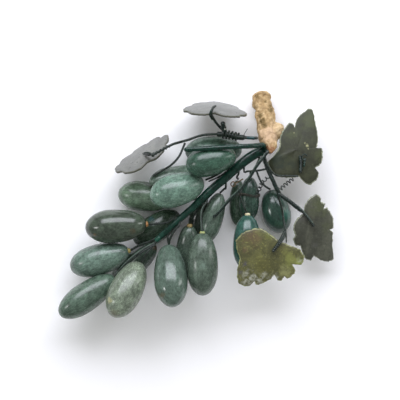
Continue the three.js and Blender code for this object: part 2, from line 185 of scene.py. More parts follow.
light_the_room()
bpy.context.scene.view_settings.view_transform = "Standard"
wide_lamp = hang_lamp("wide_lamp", tilt_deg=44, towards_deg=90, distance=1.2, width=1.6, height=0.7,
                      watts=19, reflection_only=False)
wide_lamp.data.color = (0.9, 0.91, 1.0)
glint_lamp = hang_lamp("glint_lamp", tilt_deg=54, towards_deg=184, distance=1.2, width=0.09, height=0.24,
                       watts=1.5)
side_lamp = hang_lamp("side_lamp", tilt_deg=70, towards_deg=15, distance=1.4, width=0.16, height=0.7,
                      watts=2.0)
print("lamps:", [lamp.name for lamp in (wide_lamp, glint_lamp, side_lamp)])

# %% [markdown]
# ## From points to a piece
#
# Every piece below ends in the same way. Its corners and faces become a mesh with smooth shading, it
# takes its finish, and it rides on the one body of the bunch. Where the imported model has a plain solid
# for it, it stands in for that solid.

# %% Making a piece
made_triangles = {}


def make_piece(name, points, faces, material, replaces=(), marks=None):
    """A finished piece from corners in metres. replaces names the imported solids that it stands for,
    and marks holds one number for each corner, which the finish can read."""
    mesh = bpy.data.meshes.new(name)
    mesh.from_pydata([tuple(point) for point in points], [], faces)
    mesh.polygons.foreach_set("use_smooth", [True] * len(mesh.polygons))
    mesh.materials.append(material)
    if marks is not None:
        mesh.attributes.new("marks", "FLOAT", "POINT").data.foreach_set("value", marks)
    piece = bpy.data.objects.new(name, mesh)
    bpy.context.scene.collection.objects.link(piece)
    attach(piece, "root")
    if replaces:
        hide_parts(*replaces)
    made_triangles[name] = sum(len(face.vertices) - 2 for face in mesh.polygons)


def count_made(start):
    """How many pieces so far have a name that begins like this."""
    return sum(1 for name in made_triangles if name.startswith(start))


def ring_faces(rings, sides):
    """Four-sided faces between rings of corners that are numbered ring by ring."""
    faces = []
    for ring in range(rings - 1):
        for side in range(sides):
            here, there = ring * sides + side, ring * sides + (side + 1) % sides
            faces.append((here, there, there + sides, here + sides))
    return faces


# %% [markdown]
# ## Building a finish from nodes
#
# All the finishes are made of the same few parts: clouds of noise of a stated size in millimetres,
# a ramp that turns the noise into colours, a mix, and a bump. The helpers below add one such part to a
# material and return its output, so that each finish reads like a recipe. They read the piece's own
# coordinates, so the pattern stays in the stone from every side. Values that are the same all over
# are set on the shader itself. The helpers come in three steps, and this first one fills the shader.

# %% The shader and what goes straight into it
NOISE_LOW, NOISE_HIGH = 0.3, 0.7


def linear(red, green, blue):
    """A colour as it is seen on a screen, from 0 to 255, as the light that Blender calculates with."""
    def one(value):
        share = value / 255
        return share / 12.92 if share <= 0.04045 else ((share + 0.055) / 1.055) ** 2.4
    return (one(red), one(green), one(blue))


def shade(colour, share):
    """A colour made darker or lighter by a share of its light."""
    return tuple(min(1.0, channel * share) for channel in colour)


class Surface:
    """A material that is being mixed. Its helpers fill the sockets of the shader."""

    def __init__(self, name, **even_values):
        self.material = bpy.data.materials.new(name)
        self.material.use_nodes = True
        self.tree = self.material.node_tree
        self.shader = self.tree.nodes["Principled BSDF"]
        for socket, value in even_values.items():
            self.shader.inputs[socket.replace("_", " ")].default_value = value

    def node(self, kind, **settings):
        node = self.tree.nodes.new(kind)
        for setting, value in settings.items():
            setattr(node, setting, value)
        return node

    def link(self, output, node, socket):
        self.tree.links.new(output, node.inputs[socket])

    def colour(self, output):
        self.link(output, self.shader, "Base Color")

    def roughness(self, factor, smooth, dull):
        """Roughness from smooth to dull over the factors where noise mostly lies."""
        spread = self.node("ShaderNodeMapRange")
        spread.inputs["From Min"].default_value = NOISE_LOW
        spread.inputs["From Max"].default_value = NOISE_HIGH
        spread.inputs["To Min"].default_value = smooth
        spread.inputs["To Max"].default_value = dull
        self.link(factor, spread, "Value")
        self.link(spread.outputs["Result"], self.shader, "Roughness")

    def bump(self, factor, height, strength=1.0):
        """A bump of this height in millimetres."""
        bump = self.node("ShaderNodeBump")
        bump.inputs["Strength"].default_value = strength
        bump.inputs["Distance"].default_value = height * MM
        self.link(factor, bump, "Height")
        self.link(bump.outputs["Normal"], self.shader, "Normal")


# %% [markdown]
# ## Coordinates, clouds and ramps
#
# A pattern needs coordinates, noise, and a way to turn the noise into colours or shares. Coordinates
# can be turned, or drawn out along a grape. A ramp takes pairs of a place and a value, so the places
# decide how sharply one colour gives way to the next.

# %% Patterns
class Pattern(Surface):
    """A material with helpers that make patterns."""

    def place(self, stretch=(1, 1, 1), turn=(0, 0, 0)):
        """The piece's own coordinates, turned in degrees and stretched."""
        source = self.node("ShaderNodeTexCoord")
        mapping = self.node("ShaderNodeMapping")
        mapping.inputs["Scale"].default_value = stretch
        mapping.inputs["Rotation"].default_value = [math.radians(angle) for angle in turn]
        self.link(source.outputs["Object"], mapping, "Vector")
        return mapping.outputs["Vector"]

    def along(self, start, end, stretch):
        """The piece's own coordinates, with everything drawn out along the line from start to end."""
        source = self.node("ShaderNodeTexCoord")
        mapping = self.node("ShaderNodeMapping", vector_type="TEXTURE")
        mapping.inputs["Rotation"].default_value = (end - start).to_track_quat("Z", "Y").to_euler()
        mapping.inputs["Scale"].default_value = (1, 1, stretch)
        self.link(source.outputs["Object"], mapping, "Vector")
        return mapping.outputs["Vector"]

    def clouds(self, size, place, detail=3.0, rough=0.5, warp=0.0):
        """Noise with blobs of about this size in millimetres."""
        texture = self.node("ShaderNodeTexNoise")
        texture.inputs["Scale"].default_value = 1 / (size * MM)
        texture.inputs["Detail"].default_value = detail
        texture.inputs["Roughness"].default_value = rough
        texture.inputs["Distortion"].default_value = warp
        self.link(place, texture, "Vector")
        return texture.outputs["Fac"]

    def ramp(self, factor, stops):
        """Colours or shares over a factor: stops are pairs of a place from 0 to 1 and a value."""
        ramp = self.node("ShaderNodeValToRGB")
        points = ramp.color_ramp.elements
        while len(points) < len(stops):
            points.new(0.5)
        for point, (where, value) in zip(points, stops):
            point.position = where
            point.color = (*value, 1) if isinstance(value, tuple) else (value, value, value, 1)
        self.link(factor, ramp, "Fac")
        return ramp.outputs["Color"]


# %% [markdown]
# ## Mixing and patches
#
# Layers are laid over each other with a mix, and a layer's share may be the product of two shares. A
# stain in stone is a column that goes right through it, so it is found by the distance from an
# upright line. Its edge would be a clean circle, so noise is added to the distance first. Besides the
# stains, the same patches lay painted light, painted shade and a painted reflection on a few pieces.

# %% Mixes and patches
PATCH_SOFT, PATCH_RAGGED = 0.1, 1.5


class Finish(Pattern):
    """A material with all the helpers, as each recipe below uses it."""

    def mix(self, share, first, second):
        """first where share is 0 and second where it is 1. Each is an output or a colour."""
        mix = self.node("ShaderNodeMix", data_type="RGBA")
        self.link(share, mix, 0)
        for socket, value in ((6, first), (7, second)):
            if isinstance(value, tuple):
                mix.inputs[socket].default_value = (*value, 1)
            else:
                self.link(value, mix, socket)
        return mix.outputs[2]

    def times(self, first, second):
        """The product of two factors, or of a factor and a number."""
        node = self.node("ShaderNodeMath", operation="MULTIPLY")
        self.link(first, node, 0)
        if isinstance(second, float):
            node.inputs[1].default_value = second
        else:
            self.link(second, node, 1)
        return node.outputs["Value"]

    def near(self, across, up, radius):
        """1 around an upright line through a place, in millimetres from the middle of the bunch, and 0
        further off than radius. Noise makes its edge ragged."""
        source = self.node("ShaderNodeTexCoord")
        flat = self.node("ShaderNodeVectorMath", operation="MULTIPLY")
        flat.inputs[1].default_value = (1, 1, 0)
        self.link(source.outputs["Object"], flat, 0)
        distance = self.node("ShaderNodeVectorMath", operation="DISTANCE")
        self.link(flat.outputs["Vector"], distance, 0)
        distance.inputs[1].default_value = spot((across, up, 0))
        moved = self.node("ShaderNodeMath", operation="MULTIPLY_ADD")
        self.link(self.clouds(radius * 0.9, source.outputs["Object"], detail=6, rough=0.78), moved, 0)
        moved.inputs[1].default_value = 2 * PATCH_RAGGED * radius * MM
        self.link(distance.outputs["Value"], moved, 2)
        fall = self.node("ShaderNodeMapRange", interpolation_type="SMOOTHSTEP")
        fall.inputs["From Min"].default_value = radius * (1 + PATCH_RAGGED) * MM
        fall.inputs["From Max"].default_value = radius * (PATCH_SOFT + PATCH_RAGGED) * MM
        self.link(moved.outputs["Value"], fall, "Value")
        return fall.outputs["Result"]

    def lay_patch(self, base, across, up, radius, colour, share):
        """The base with one patch of a colour laid over it. Most are stains; a few are painted light, shade
        or reflection.
        """
        return self.mix(self.times(self.near(across, up, radius), share), base, linear(*colour))


# %% [markdown]
# ## The stone of the grapes
#
# The grapes are cut from a green hardstone that is never even: soft clouds a centimetre across, a
# fine salt-and-pepper mottling drawn out along the grape, pale grains in the lighter clouds, and
# faint hairline cracks that have filled with pale mineral. So one recipe makes all twenty, and it is
# given one colour for each grape, from which the dark and the light clouds follow. The cracks are the
# edges of the cells of a Voronoi texture. Stains go right through the stone. The polish is good but
# not perfect, so the roughness wanders a little too.

# %% Finish of a grape
CLOUD_SIZE, PEPPER_SIZE, SALT_SIZE = 8, 1.6, 1.0
CLOUD_DARK, CLOUD_LIGHT = 0.62, 1.5
PEPPER_SHADE, SALT_SHADE, CRACK_SHADE = 0.36, 2.3, 2.4
GRAIN_STRETCH = 2.0
CRACK_SPACING = 13
STONE_IOR = 1.6


def stone_finish(name, colour, line, turn, stone_patches, grains, polish):
    """line is the start and the end of the grape, along which its grain is drawn out. turn gives each
    grape other clouds, grains is how strong the pale ones are, and polish the span of roughness."""
    middle = linear(*colour)
    stone = Finish(name, IOR=STONE_IOR)
    place = stone.place(turn=(turn * 40, turn * 70, turn * 110))
    grain = stone.along(*line, GRAIN_STRETCH)
    broad = stone.clouds(CLOUD_SIZE, place, detail=5, rough=0.62, warp=0.6)
    stops = [(0.3, shade(middle, CLOUD_DARK)), (0.5, middle), (0.72, shade(middle, CLOUD_LIGHT))]
    base = stone.ramp(broad, stops)
    fine = stone.clouds(PEPPER_SIZE, grain, detail=6, rough=0.8)
    pepper = stone.ramp(fine, [(0.38, 0.75), (0.52, 0.0)])
    base = stone.mix(pepper, base, shade(middle, PEPPER_SHADE))
    salt = stone.ramp(stone.clouds(SALT_SIZE, grain, detail=4, rough=0.8), [(0.54, 0.0), (0.64, grains)])
    salt = stone.times(salt, stone.ramp(broad, [(0.38, 0.25), (0.6, 1.0)]))
    base = stone.mix(salt, base, shade(middle, SALT_SHADE))
    cells = stone.node("ShaderNodeTexVoronoi", feature="DISTANCE_TO_EDGE")
    cells.inputs["Scale"].default_value = 1 / (CRACK_SPACING * MM)
    stone.link(place, cells, "Vector")
    cracks = stone.ramp(cells.outputs["Distance"], [(0.004, 0.22), (0.014, 0.0)])
    cracks = stone.times(cracks, stone.ramp(broad, [(0.48, 0.0), (0.6, 1.0)]))
    base = stone.mix(cracks, base, shade(middle, CRACK_SHADE))
    for lay_patch in stone_patches:
        base = stone.lay_patch(base, *lay_patch)
    stone.colour(base)
    stone.roughness(fine, *polish)
    stone.bump(fine, 0.025, 0.3)
    return stone.material


# %% [markdown]
# ## Turning a piece on a line
#
# Grapes, plugs and beads are all round about a line, so they are turned like pottery: a profile says
# how far along the line each ring lies and how wide it is, and the rings are joined up. A last
# function may push each corner about, because nothing here was turned by a machine.

# %% Rings round a line
def turn_profile(profile, start, end, sides, uneven=None):
    """Corners and faces of a piece turned about the line from start towards end. The first and the
    last entry of the profile are single corners on the line."""
    turn = (end - start).normalized().to_track_quat("Z", "Y")
    points = []
    for along, radius in profile[1:-1]:
        for side in range(sides):
            angle = 2 * math.pi * side / sides
            local = Vector((radius * math.cos(angle), radius * math.sin(angle), along))
            points.append(start + turn @ (uneven(local) if uneven else local))
    faces = ring_faces(len(profile) - 2, sides)
    first, last = len(points), len(points) + 1
    points += [start + turn @ Vector((0, 0, profile[pole][0])) for pole in (0, -1)]
    for side in range(sides):
        after = (side + 1) % sides
        faces.append((first, after, side))
        faces.append((last, first - sides + side, first - sides + after))
    return points, faces


# %% [markdown]
# ## Grinding a grape
#
# A grape is a long blunt egg. It could be a stretched sphere, but a real one is fuller towards its
# free end and was ground by hand, so its sides are never quite round and the reflections on it
# wobble. So its rings are worked out from a formula, and a slow noise moves each corner in or out by
# a fraction of a millimetre. The place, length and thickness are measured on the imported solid, whose
# two poles lie furthest apart along it. A drilled grape has the mouth of its hole cut in, with a worn
# rim, and the others have a small dimple where the wire goes in. What would go under the table top
# is ground flat, as on the solid.

# %% Measuring a grape
PLUG_INSIDE = 0.8 * MM
TWIG_FOOT = spot((53.5, 42.0, 30.0))


def corners_of(node):
    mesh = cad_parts[node].data
    flat = np.empty(len(mesh.vertices) * 3)
    mesh.vertices.foreach_get("co", flat)
    return flat.reshape(-1, 3)


def middle_of(node):
    low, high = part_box(node)
    return (low + high) / 2


def is_drilled(name):
    return "plug_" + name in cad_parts


def measure_grape(name):
    """The stem end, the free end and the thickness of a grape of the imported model."""
    corners = corners_of("grape_" + name)
    middle = corners.mean(0)
    direction = np.linalg.svd(corners - middle)[2][0]
    along = (corners - middle) @ direction
    ends = [Vector(corners[along.argmin()]), Vector(corners[along.argmax()])]
    gather = middle_of("plug_" + name) if is_drilled(name) else TWIG_FOOT
    stem, free = sorted(ends, key=lambda end: (end - gather).length)
    if is_drilled(name):
        stem = gather + (gather - free).normalized() * PLUG_INSIDE
    axis = np.array((free - stem).normalized())
    aside = corners - np.array(stem)
    aside -= np.outer(aside @ axis, axis)
    return stem, free, 2 * np.linalg.norm(aside, axis=1).max()


# %% [markdown]
# ## The outline of a grape
#
# The outline is a list of rings: how far along each lies, and its radius. It starts inside the hole at
# the stem end, comes out over a worn rim, and follows the egg to its free end. The rings crowd together
# towards both ends, where the outline bends most.

# %% Outline and hand grinding
BLUNTNESS = 2.25
FULLNESS = 0.1
GRAPE_RINGS = 52
GRAPE_SIDES = 44
MOUTH_RADIUS = 2.3 * MM
MOUTH_DEPTH = 2.3 * MM
DIMPLE_RADIUS = 1.3 * MM
RIM_ROUND = 0.25 * MM
SLOW_WAVE, SLOW_PUSH = 13 * MM, 0.3
SMALL_WAVE, SMALL_PUSH = 5 * MM, 0.06


def egg_radius(along, half):
    """Half the thickness of a grape at a place from -1, its stem end, to 1, its free end."""
    roundness = math.sqrt(max(0.0, 1 - abs(along) ** BLUNTNESS))
    return half * roundness * (1 + FULLNESS * along * (1 - along * along))


def grape_profile(length, width, drilled):
    """Distance along and radius of each ring, from the stem end to the free end."""
    rings = []
    for ring in range(GRAPE_RINGS + 1):
        along = -math.cos(math.pi * ring / GRAPE_RINGS)
        rings.append(((1 + along) * length / 2, egg_radius(along, width / 2)))
    mouth = MOUTH_RADIUS if drilled else DIMPLE_RADIUS
    depth = MOUTH_DEPTH if drilled else mouth / 2
    outside = [ring for ring in rings[:-1] if ring[1] > mouth * 1.25]
    rim = outside[0][0] * 0.7
    inside = [(depth, 0), (depth, mouth * 0.8), (depth * 0.8, mouth * 0.97)]
    return inside + [(rim + RIM_ROUND, mouth), (rim, mouth * 1.08)] + outside + [(length, 0)]


def hand_ground(seed):
    """Moves a corner of a grape in or out, by slow waves and small ones."""
    def uneven(local):
        wave = noise.noise(local / SLOW_WAVE + Vector((seed, 0, 0))) * SLOW_PUSH
        wave += noise.noise(local / SMALL_WAVE + Vector((0, seed, 0))) * SMALL_PUSH
        radius = math.hypot(local.x, local.y)
        share = 1 + wave * MM * min(1.0, radius / (3 * MM)) / max(radius, 0.1 * MM)
        return Vector((local.x * share, local.y * share, local.z))
    return uneven


def keep_above_table(points):
    for point in points:
        point.z = max(point.z, 0.0)


def grind_grape(name, finish, seed):
    stem, free, width = grape_places[name]
    profile = grape_profile((free - stem).length, width, is_drilled(name))
    points, faces = turn_profile(profile, stem, free, GRAPE_SIDES, hand_ground(seed))
    keep_above_table(points)
    make_piece("stone_grape_" + name, points, faces, finish, ["grape_" + name])


# %% [markdown]
# ## Twenty grapes
#
# The list holds for each grape a slot name, the colour of its clouds, and its patches: where the patch's
# line stands, in millimetres from the middle of the bunch, how wide it is, its colour and how strongly
# it shows. Four grapes are polished to a higher gloss, and the speckled one has stronger pale grains.

# %% Grapes and their patches
BROWN = (98, 82, 58)
RUST = (92, 62, 44)
STRAW = (176, 174, 128)
DEEP = (30, 44, 36)
ICE = (150, 176, 160)
BLUE = (70, 104, 108)
PAINTED_TEAL_REFLECTION = (52, 120, 104)
GRAPES = [
    ("far_left", "stone_dark", (66, 77, 64), [(-76, -22, 1.6, BROWN, 0.7), (-47.3, -19.5, 3, BROWN, 0.4)]),
    ("left_middle", "stone_mid", (96, 118, 105), []),
    ("left_low", "stone_mid", (79, 99, 84), []),
    ("low_speckled", "stone_grey", (114, 126, 108),
     [(-64.7, -70.5, 3, STRAW, 0.7), (-46, -64, 6, DEEP, 0.4), (-61.5, -80, 5, BROWN, 0.35)]),
    ("low_middle", "stone_mid", (84, 102, 90), [(-25.7, -66.5, 3.4, BROWN, 0.6)]),
    ("low_right", "stone_mid", (80, 95, 82), [(4.5, -45, 4, ICE, 0.25), (13, -47, 8, DEEP, 0.4)]),
    ("behind_low", "stone_grey", (78, 94, 81), []),
    ("slim_front", "stone_pale", (84, 102, 88), []),
    ("slim_behind", "stone_dark", (58, 72, 60), []),
    ("behind_stem", "stone_dark", (54, 72, 56), [(-34.5, -10.5, 3, BLUE, 0.5)]),
    ("under_wires", "stone_dark", (58, 74, 62), [(-31.5, -31, 4, RUST, 0.5)]),
    ("pale_front", "stone_pale", (98, 126, 110), []),
    ("pale_left", "stone_pale", (100, 122, 100), []),
    ("grey_behind", "stone_grey", (99, 119, 104), []),
    ("top_front", "stone_pale", (54, 84, 68), []),
    # The dark patch at the right end of top_behind is painted shade.
    ("top_behind", "stone_mid", (74, 98, 83), [(30, 42, 8, DEEP, 0.5)]),
    ("teal", "stone_teal", (52, 86, 76), []),
    ("right_dark", "stone_dark", (56, 76, 60), []),
    ("right_coiled", "stone_teal", (48, 72, 60), []),
    # The teal patch on right_large is a painted reflection: the teal stripes of light on its right side.
    ("right_large", "stone_mid", (52, 78, 66), [(67, -7, 6, PAINTED_TEAL_REFLECTION, 0.4)]),
]
GLOSSY = ("far_left", "low_middle", "right_large", "teal")
GLOSS, SATIN = (0.14, 0.24), (0.18, 0.34)
GRAPE_SEED_STEP = 7.3
grape_places = {}
for seed, (name, slot, colour, stone_patches) in enumerate(GRAPES):
    grape_places[name] = measure_grape(name)
    stem, free, width = grape_places[name]
    polish = GLOSS if name in GLOSSY else SATIN
    grains = 1.0 if name == "low_speckled" else 0.5
    finish = stone_finish("stone_" + name, colour, (stem, free), seed, stone_patches, grains, polish)
    grind_grape(name, finish, seed * GRAPE_SEED_STEP)
longest = max((free - stem).length for stem, free, width in grape_places.values())
print("grapes:", len(grape_places), "longest, mm:", round(longest / MM, 1))

# %% [markdown]
# ## Resin in the drilled ends
#
# Where a hole is wider than its wire, it is filled with coloured resin, which stands out of the
# mouth as a small uneven dome round the wire. A cylinder would look like a button, so it is turned
# from a domed profile, in millimetres along and shares of the radius, and what stands out of the
# mouth is pushed about.

# %% Resin plugs
PLUG_SIDES = 24
PLUG_RADIUS = 2.1 * MM
PLUG_WAVE, PLUG_PUSH = 1.4 * MM, 0.25
PLUG_EVEN_UP_TO = 2.2
PLUG_SEED_STEP = 5.1
PLUG_DOME = [(0.0, 0.0), (0.1, 0.85), (0.6, 0.98), (1.6, 1.0), (2.4, 0.97), (2.9, 0.86), (3.25, 0.62),
             (3.4, 0.35), (3.42, 0.0)]
PLUG_COLOURS = {
    "far_left": (166, 122, 72),
    "left_middle": (168, 158, 92),
    "low_right": (158, 166, 106),
    "teal": (198, 192, 158),
    "behind_low": (164, 146, 98),
}


def plug_finish(name, colour):
    resin = Finish(name, IOR=1.5, Subsurface_Weight=0.15, Subsurface_Scale=0.6 * MM)
    place = resin.place()
    cloudy = resin.clouds(1.1, place, detail=4, rough=0.6)
    tone = linear(*colour)
    base = resin.ramp(cloudy, [(0.3, shade(tone, 0.45)), (0.52, tone), (0.72, shade(tone, 1.5))])
    resin.colour(base)
    resin.roughness(cloudy, 0.3, 0.55)
    resin.bump(resin.clouds(0.5, place), 0.08, 0.6)
    return resin.material


def fill_mouth(name, colour, seed):
    stem, free, width = grape_places[name]
    inward = (free - stem).normalized()
    bottom = stem + inward * MOUTH_DEPTH * 0.98
    profile = [(along * MM, radius * PLUG_RADIUS) for along, radius in PLUG_DOME]

    def uneven(local):
        push = noise.noise(local / PLUG_WAVE + Vector((seed, 3, 0))) * PLUG_PUSH * MM
        rise = max(0.0, local.z / MM - PLUG_EVEN_UP_TO)
        outward = Vector((local.x, local.y, 0)).normalized()
        return local + outward * push * rise + Vector((0, 0, push * rise))

    points, faces = turn_profile(profile, bottom, stem, PLUG_SIDES, uneven)
    finish = plug_finish("resin_" + name, colour)
    make_piece("resin_plug_" + name, points, faces, finish, ["plug_" + name])


for seed, (name, colour) in enumerate(PLUG_COLOURS.items()):
    fill_mouth(name, colour, seed * PLUG_SEED_STEP)
print("plugs:", len(PLUG_COLOURS))

# %% [markdown]
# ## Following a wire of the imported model
#
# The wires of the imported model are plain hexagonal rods. Their routes are needed again, so they are
# read back from the solids: the short edges of a rod go round it, so corners joined by short edges
# make one ring, and the middles of the rings, in order, are the route.

# %% Route of a rod
WELD_WITHIN = 0.01 * MM
ROD_SIDES = 6
SHORT_EDGE_SPREAD = 1.05


def weld(node):
    """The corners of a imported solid, and for each corner its neighbours."""
    solid = bmesh.new()
    solid.from_mesh(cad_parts[node].data)
    bmesh.ops.remove_doubles(solid, verts=solid.verts, dist=WELD_WITHIN)
    solid.verts.index_update()
    corners = [vert.co.copy() for vert in solid.verts]
    nearby = [{edge.other_vert(vert).index for edge in vert.link_edges} for vert in solid.verts]
    solid.free()
    return corners, nearby


def gather_ring(first, corners, nearby, reach):
    """The corners that hang together with the first one by edges shorter than reach."""
    ring, waiting = {first}, [first]
    while waiting:
        here = waiting.pop()
        for other in nearby[here] - ring:
            if (corners[here] - corners[other]).length < reach:
                ring.add(other)
                waiting.append(other)
    return ring


def read_route(node, ring_edge=None):
    """The middle and the radius of each ring of a packed rod, from one end to the other."""
    corners, nearby = weld(node)
    shortest = min((corners[a] - corners[b]).length for a, joined in enumerate(nearby) for b in joined)
    reach = ring_edge or shortest * SHORT_EDGE_SPREAD
    ring_of, rings = {}, []
    for first in range(len(corners)):
        if first not in ring_of:
            ring = gather_ring(first, corners, nearby, reach)
            ring_of.update(dict.fromkeys(ring, len(rings)))
            rings.append(ring)
    joined = [{ring_of[b] for a in ring for b in nearby[a]} - {at} for at, ring in enumerate(rings)]
    real = {at for at, ring in enumerate(rings) if len(ring) >= ROD_SIDES}
    here = next(at for at in sorted(real) if len(joined[at] & real) == 1)
    order = [here]
    while joined[here] & real - set(order):
        here = (joined[here] & real - set(order)).pop()
        order.append(here)
    route = []
    for at in order:
        middle = sum((corners[a] for a in rings[at]), Vector()) / len(rings[at])
        route.append((middle, max((corners[a] - middle).length for a in rings[at])))
    return route


# %% [markdown]
# ## Winding thread round a wire
#
# Each wire is wound with fine thread, turn beside turn. A smooth tube with a bump texture loses the
# thread at the wire's outline, and a real helix of thread for each wire would be far too many
# corners. So the wire is one tube with enough rings for each turn of the thread to stand out as a
# rounded ridge, and slow lumps where the winding doubled up. A long route is first made into evenly
# spaced points on a smooth curve, and a pair of directions is carried along it without twisting.

# %% Smooth lines
PARTS_OF_CURVE = 12


def smooth_line(places, step):
    """Evenly spaced points, step apart, on a smooth curve through the places."""
    places = [Vector(place) for place in places]
    ends = [2 * places[0] - places[1]] + places + [2 * places[-1] - places[-2]]
    fine = []
    for before, start, end, after in zip(ends, ends[1:], ends[2:], ends[3:]):
        for part in range(PARTS_OF_CURVE):
            t = part / PARTS_OF_CURVE
            bend = (2 * before - 5 * start + 4 * end - after) * t * t
            bend += (3 * start - before - 3 * end + after) * t ** 3
            fine.append(np.array(start + ((end - before) * t + bend) / 2))
    fine.append(np.array(places[-1]))
    fine = np.array(fine)
    distance = np.concatenate([[0], np.cumsum(np.linalg.norm(np.diff(fine, axis=0), axis=1))])
    even = np.linspace(0, distance[-1], max(3, round(distance[-1] / step) + 1))
    return [Vector(point) for point in zip(*(np.interp(even, distance, fine[:, k]) for k in range(3)))]


def directions_along(line):
    """For each point of a line the way forward and two ways aside, which don't twist."""
    aside = (line[1] - line[0]).orthogonal().normalized()
    found = []
    for at in range(len(line)):
        forward = (line[min(at + 1, len(line) - 1)] - line[max(at - 1, 0)]).normalized()
        aside = (aside - forward * aside.dot(forward)).normalized()
        found.append((forward, aside, forward.cross(aside)))
    return found


# %% [markdown]
# ## Rods
#
# A rod is a ring of corners at each point of a line. A function gives the radius at each distance and
# angle, so the same rod serves for a wire, a stem and a twig. Wound thread is such a function: its
# ridges climb round the rod by one pitch in each turn.

# %% Plain and wound rods
RINGS_PER_TURN = 6
WOUND_SIDES = 12
LUMP_LENGTH = 2.3 * MM
LEAST_END = 0.04


def rod(line, radius_at, sides, blunt=False):
    """Corners and faces of a rod along a line. radius_at gives the radius at a distance and an angle.
    Its ends are round, or blunt where it was sawn."""
    step = (line[-1] - line[-2]).length
    length = step * (len(line) - 1)
    points = []
    for at, (forward, aside, across) in enumerate(directions_along(line)):
        distance = at * step
        to_end = min(distance, length - distance)
        for side in range(sides):
            angle = 2 * math.pi * side / sides
            radius = radius_at(distance, angle)
            if not blunt and to_end < radius:
                radius *= math.sqrt(max(LEAST_END, 1 - (1 - to_end / radius) ** 2))
            points.append(line[at] + (aside * math.cos(angle) + across * math.sin(angle)) * radius)
    faces = ring_faces(len(line), sides)
    first = len(points)
    points += [line[0], line[-1]]
    for side in range(sides):
        after = (side + 1) % sides
        faces.append((first, after, side))
        faces.append((first + 1, first - sides + side, first - sides + after))
    return points, faces


def wound(places, radius, pitch=0.85, depth=0.16, lumps=0.07, seed=0.0):
    """A rod of this radius wound with thread. Radius, pitch and depth are in millimetres."""
    line = smooth_line(places, pitch * MM / RINGS_PER_TURN)

    def radius_at(distance, angle):
        turns = distance / (pitch * MM) - angle / (2 * math.pi)
        ridge = abs(math.sin(math.pi * turns))
        slow = noise.noise(Vector((distance / LUMP_LENGTH, math.cos(angle), seed + math.sin(angle))))
        return (radius * (1 + lumps * slow) - depth * (1 - ridge)) * MM

    return rod(line, radius_at, WOUND_SIDES)


# %% [markdown]
# ## Thread, paint and bare wire
#
# The thread is a dark blackish green, with a slight shine on each turn. The thick stems are wound
# with a shiny green tape. Brown thread makes a ring round one grape's neck and a loop near it, and pale
# strands and a bit of bare wire show between the dark ones. The pale strands are painted highlights:
# pale thread laid along the thin stems where they show a line of light. One finish serves them all: it
# is given a colour, how much its light and dark patches differ, how rough it is, and the colour of its
# worn flecks. The small bead beside the upper leaf takes it too, with hardly any contrast, and is a
# painted glint.

# %% Finishes of wires and stems
def thread_finish(name, colour, contrast=0.6, smooth=0.35, dull=0.6, fleck=None):
    """smooth and dull are the span of roughness, and fleck is the colour of small worn spots."""
    thread = Finish(name, IOR=1.5)
    place = thread.place()
    tone = linear(*colour)
    patch = thread.clouds(3.5, place, detail=4, rough=0.65)
    dark, light = shade(tone, 1 - contrast), shade(tone, 1 + contrast)
    base = thread.ramp(patch, [(0.3, dark), (0.5, tone), (0.7, light)])
    if fleck:
        spots = thread.ramp(thread.clouds(0.7, place, detail=2), [(0.6, 0.0), (0.68, 0.8)])
        base = thread.mix(spots, base, linear(*fleck))
    thread.colour(base)
    thread.roughness(patch, smooth, dull)
    thread.bump(thread.clouds(0.25, place, detail=2), 0.03, 0.5)
    return thread.material


THREAD = thread_finish("thread_dark", (24, 36, 29), smooth=0.22, dull=0.4, fleck=(70, 82, 66))
STEM_TAPE = thread_finish("tape_green", (15, 46, 36), smooth=0.12, dull=0.24, fleck=(44, 84, 68))
STEM_DARK = thread_finish("tape_dark", (22, 35, 30), smooth=0.16, dull=0.32, fleck=(54, 74, 62))
# Painted highlight: the pale strands stand for the lines of light along the thin stems.
PAINTED_HIGHLIGHT_STRAND = thread_finish("strand_pale", (92, 112, 98), smooth=0.3, dull=0.5, fleck=(136, 152, 138))
STEM_BRIGHT = thread_finish("tape_bright", (20, 68, 52), smooth=0.16, dull=0.34, fleck=(60, 110, 90))
BARE_WIRE = thread_finish("wire_bare", (20, 54, 56), smooth=0.15, dull=0.3, fleck=(80, 124, 118))
BROWN_THREAD = thread_finish("thread_brown", (104, 84, 60), fleck=(160, 140, 104))
RING_THREAD = thread_finish("thread_ring", (60, 58, 50), fleck=(130, 124, 108))
print("finishes so far:", len(bpy.data.materials))


# %% [markdown]
# ## The main stem
#
# All the wires run together in one thick stem, which thins out towards the lower grapes. Its own
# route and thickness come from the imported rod. It is wound tightly with tape, so its ridges are
# shallow.

# %% Main stem
STEM_RING_EDGE = 3 * MM
STEM_PITCH = 1.1
STEM_SIDES = 28
STEM_RIDGE = 0.02 * MM
STEM_LUMP, STEM_LUMP_LENGTH = 0.05, 6 * MM
main_route = read_route("stem_main", STEM_RING_EDGE)
if main_route[0][1] < main_route[-1][1]:
    main_route.reverse()
main_line = smooth_line([middle for middle, radius in main_route], STEM_PITCH * MM / RINGS_PER_TURN)
main_radii = [radius for middle, radius in main_route]


def main_radius(distance, angle):
    share = distance / (len(main_line) * STEM_PITCH * MM / RINGS_PER_TURN)
    radius = float(np.interp(share * (len(main_radii) - 1), range(len(main_radii)), main_radii))
    turns = distance / (STEM_PITCH * MM) - angle / (2 * math.pi)
    ridge = 1 - abs(math.sin(math.pi * turns))
    slow = noise.noise(Vector((distance / STEM_LUMP_LENGTH, math.cos(angle), math.sin(angle))))
    return radius * (1 + STEM_LUMP * slow) - STEM_RIDGE * ridge


points, faces = rod(main_line, main_radius, STEM_SIDES)
make_piece("wound_main_stem", points, faces, STEM_TAPE, ["stem_main"])
print("main stem, mm:", round((main_line[0] - main_line[-1]).length / MM))

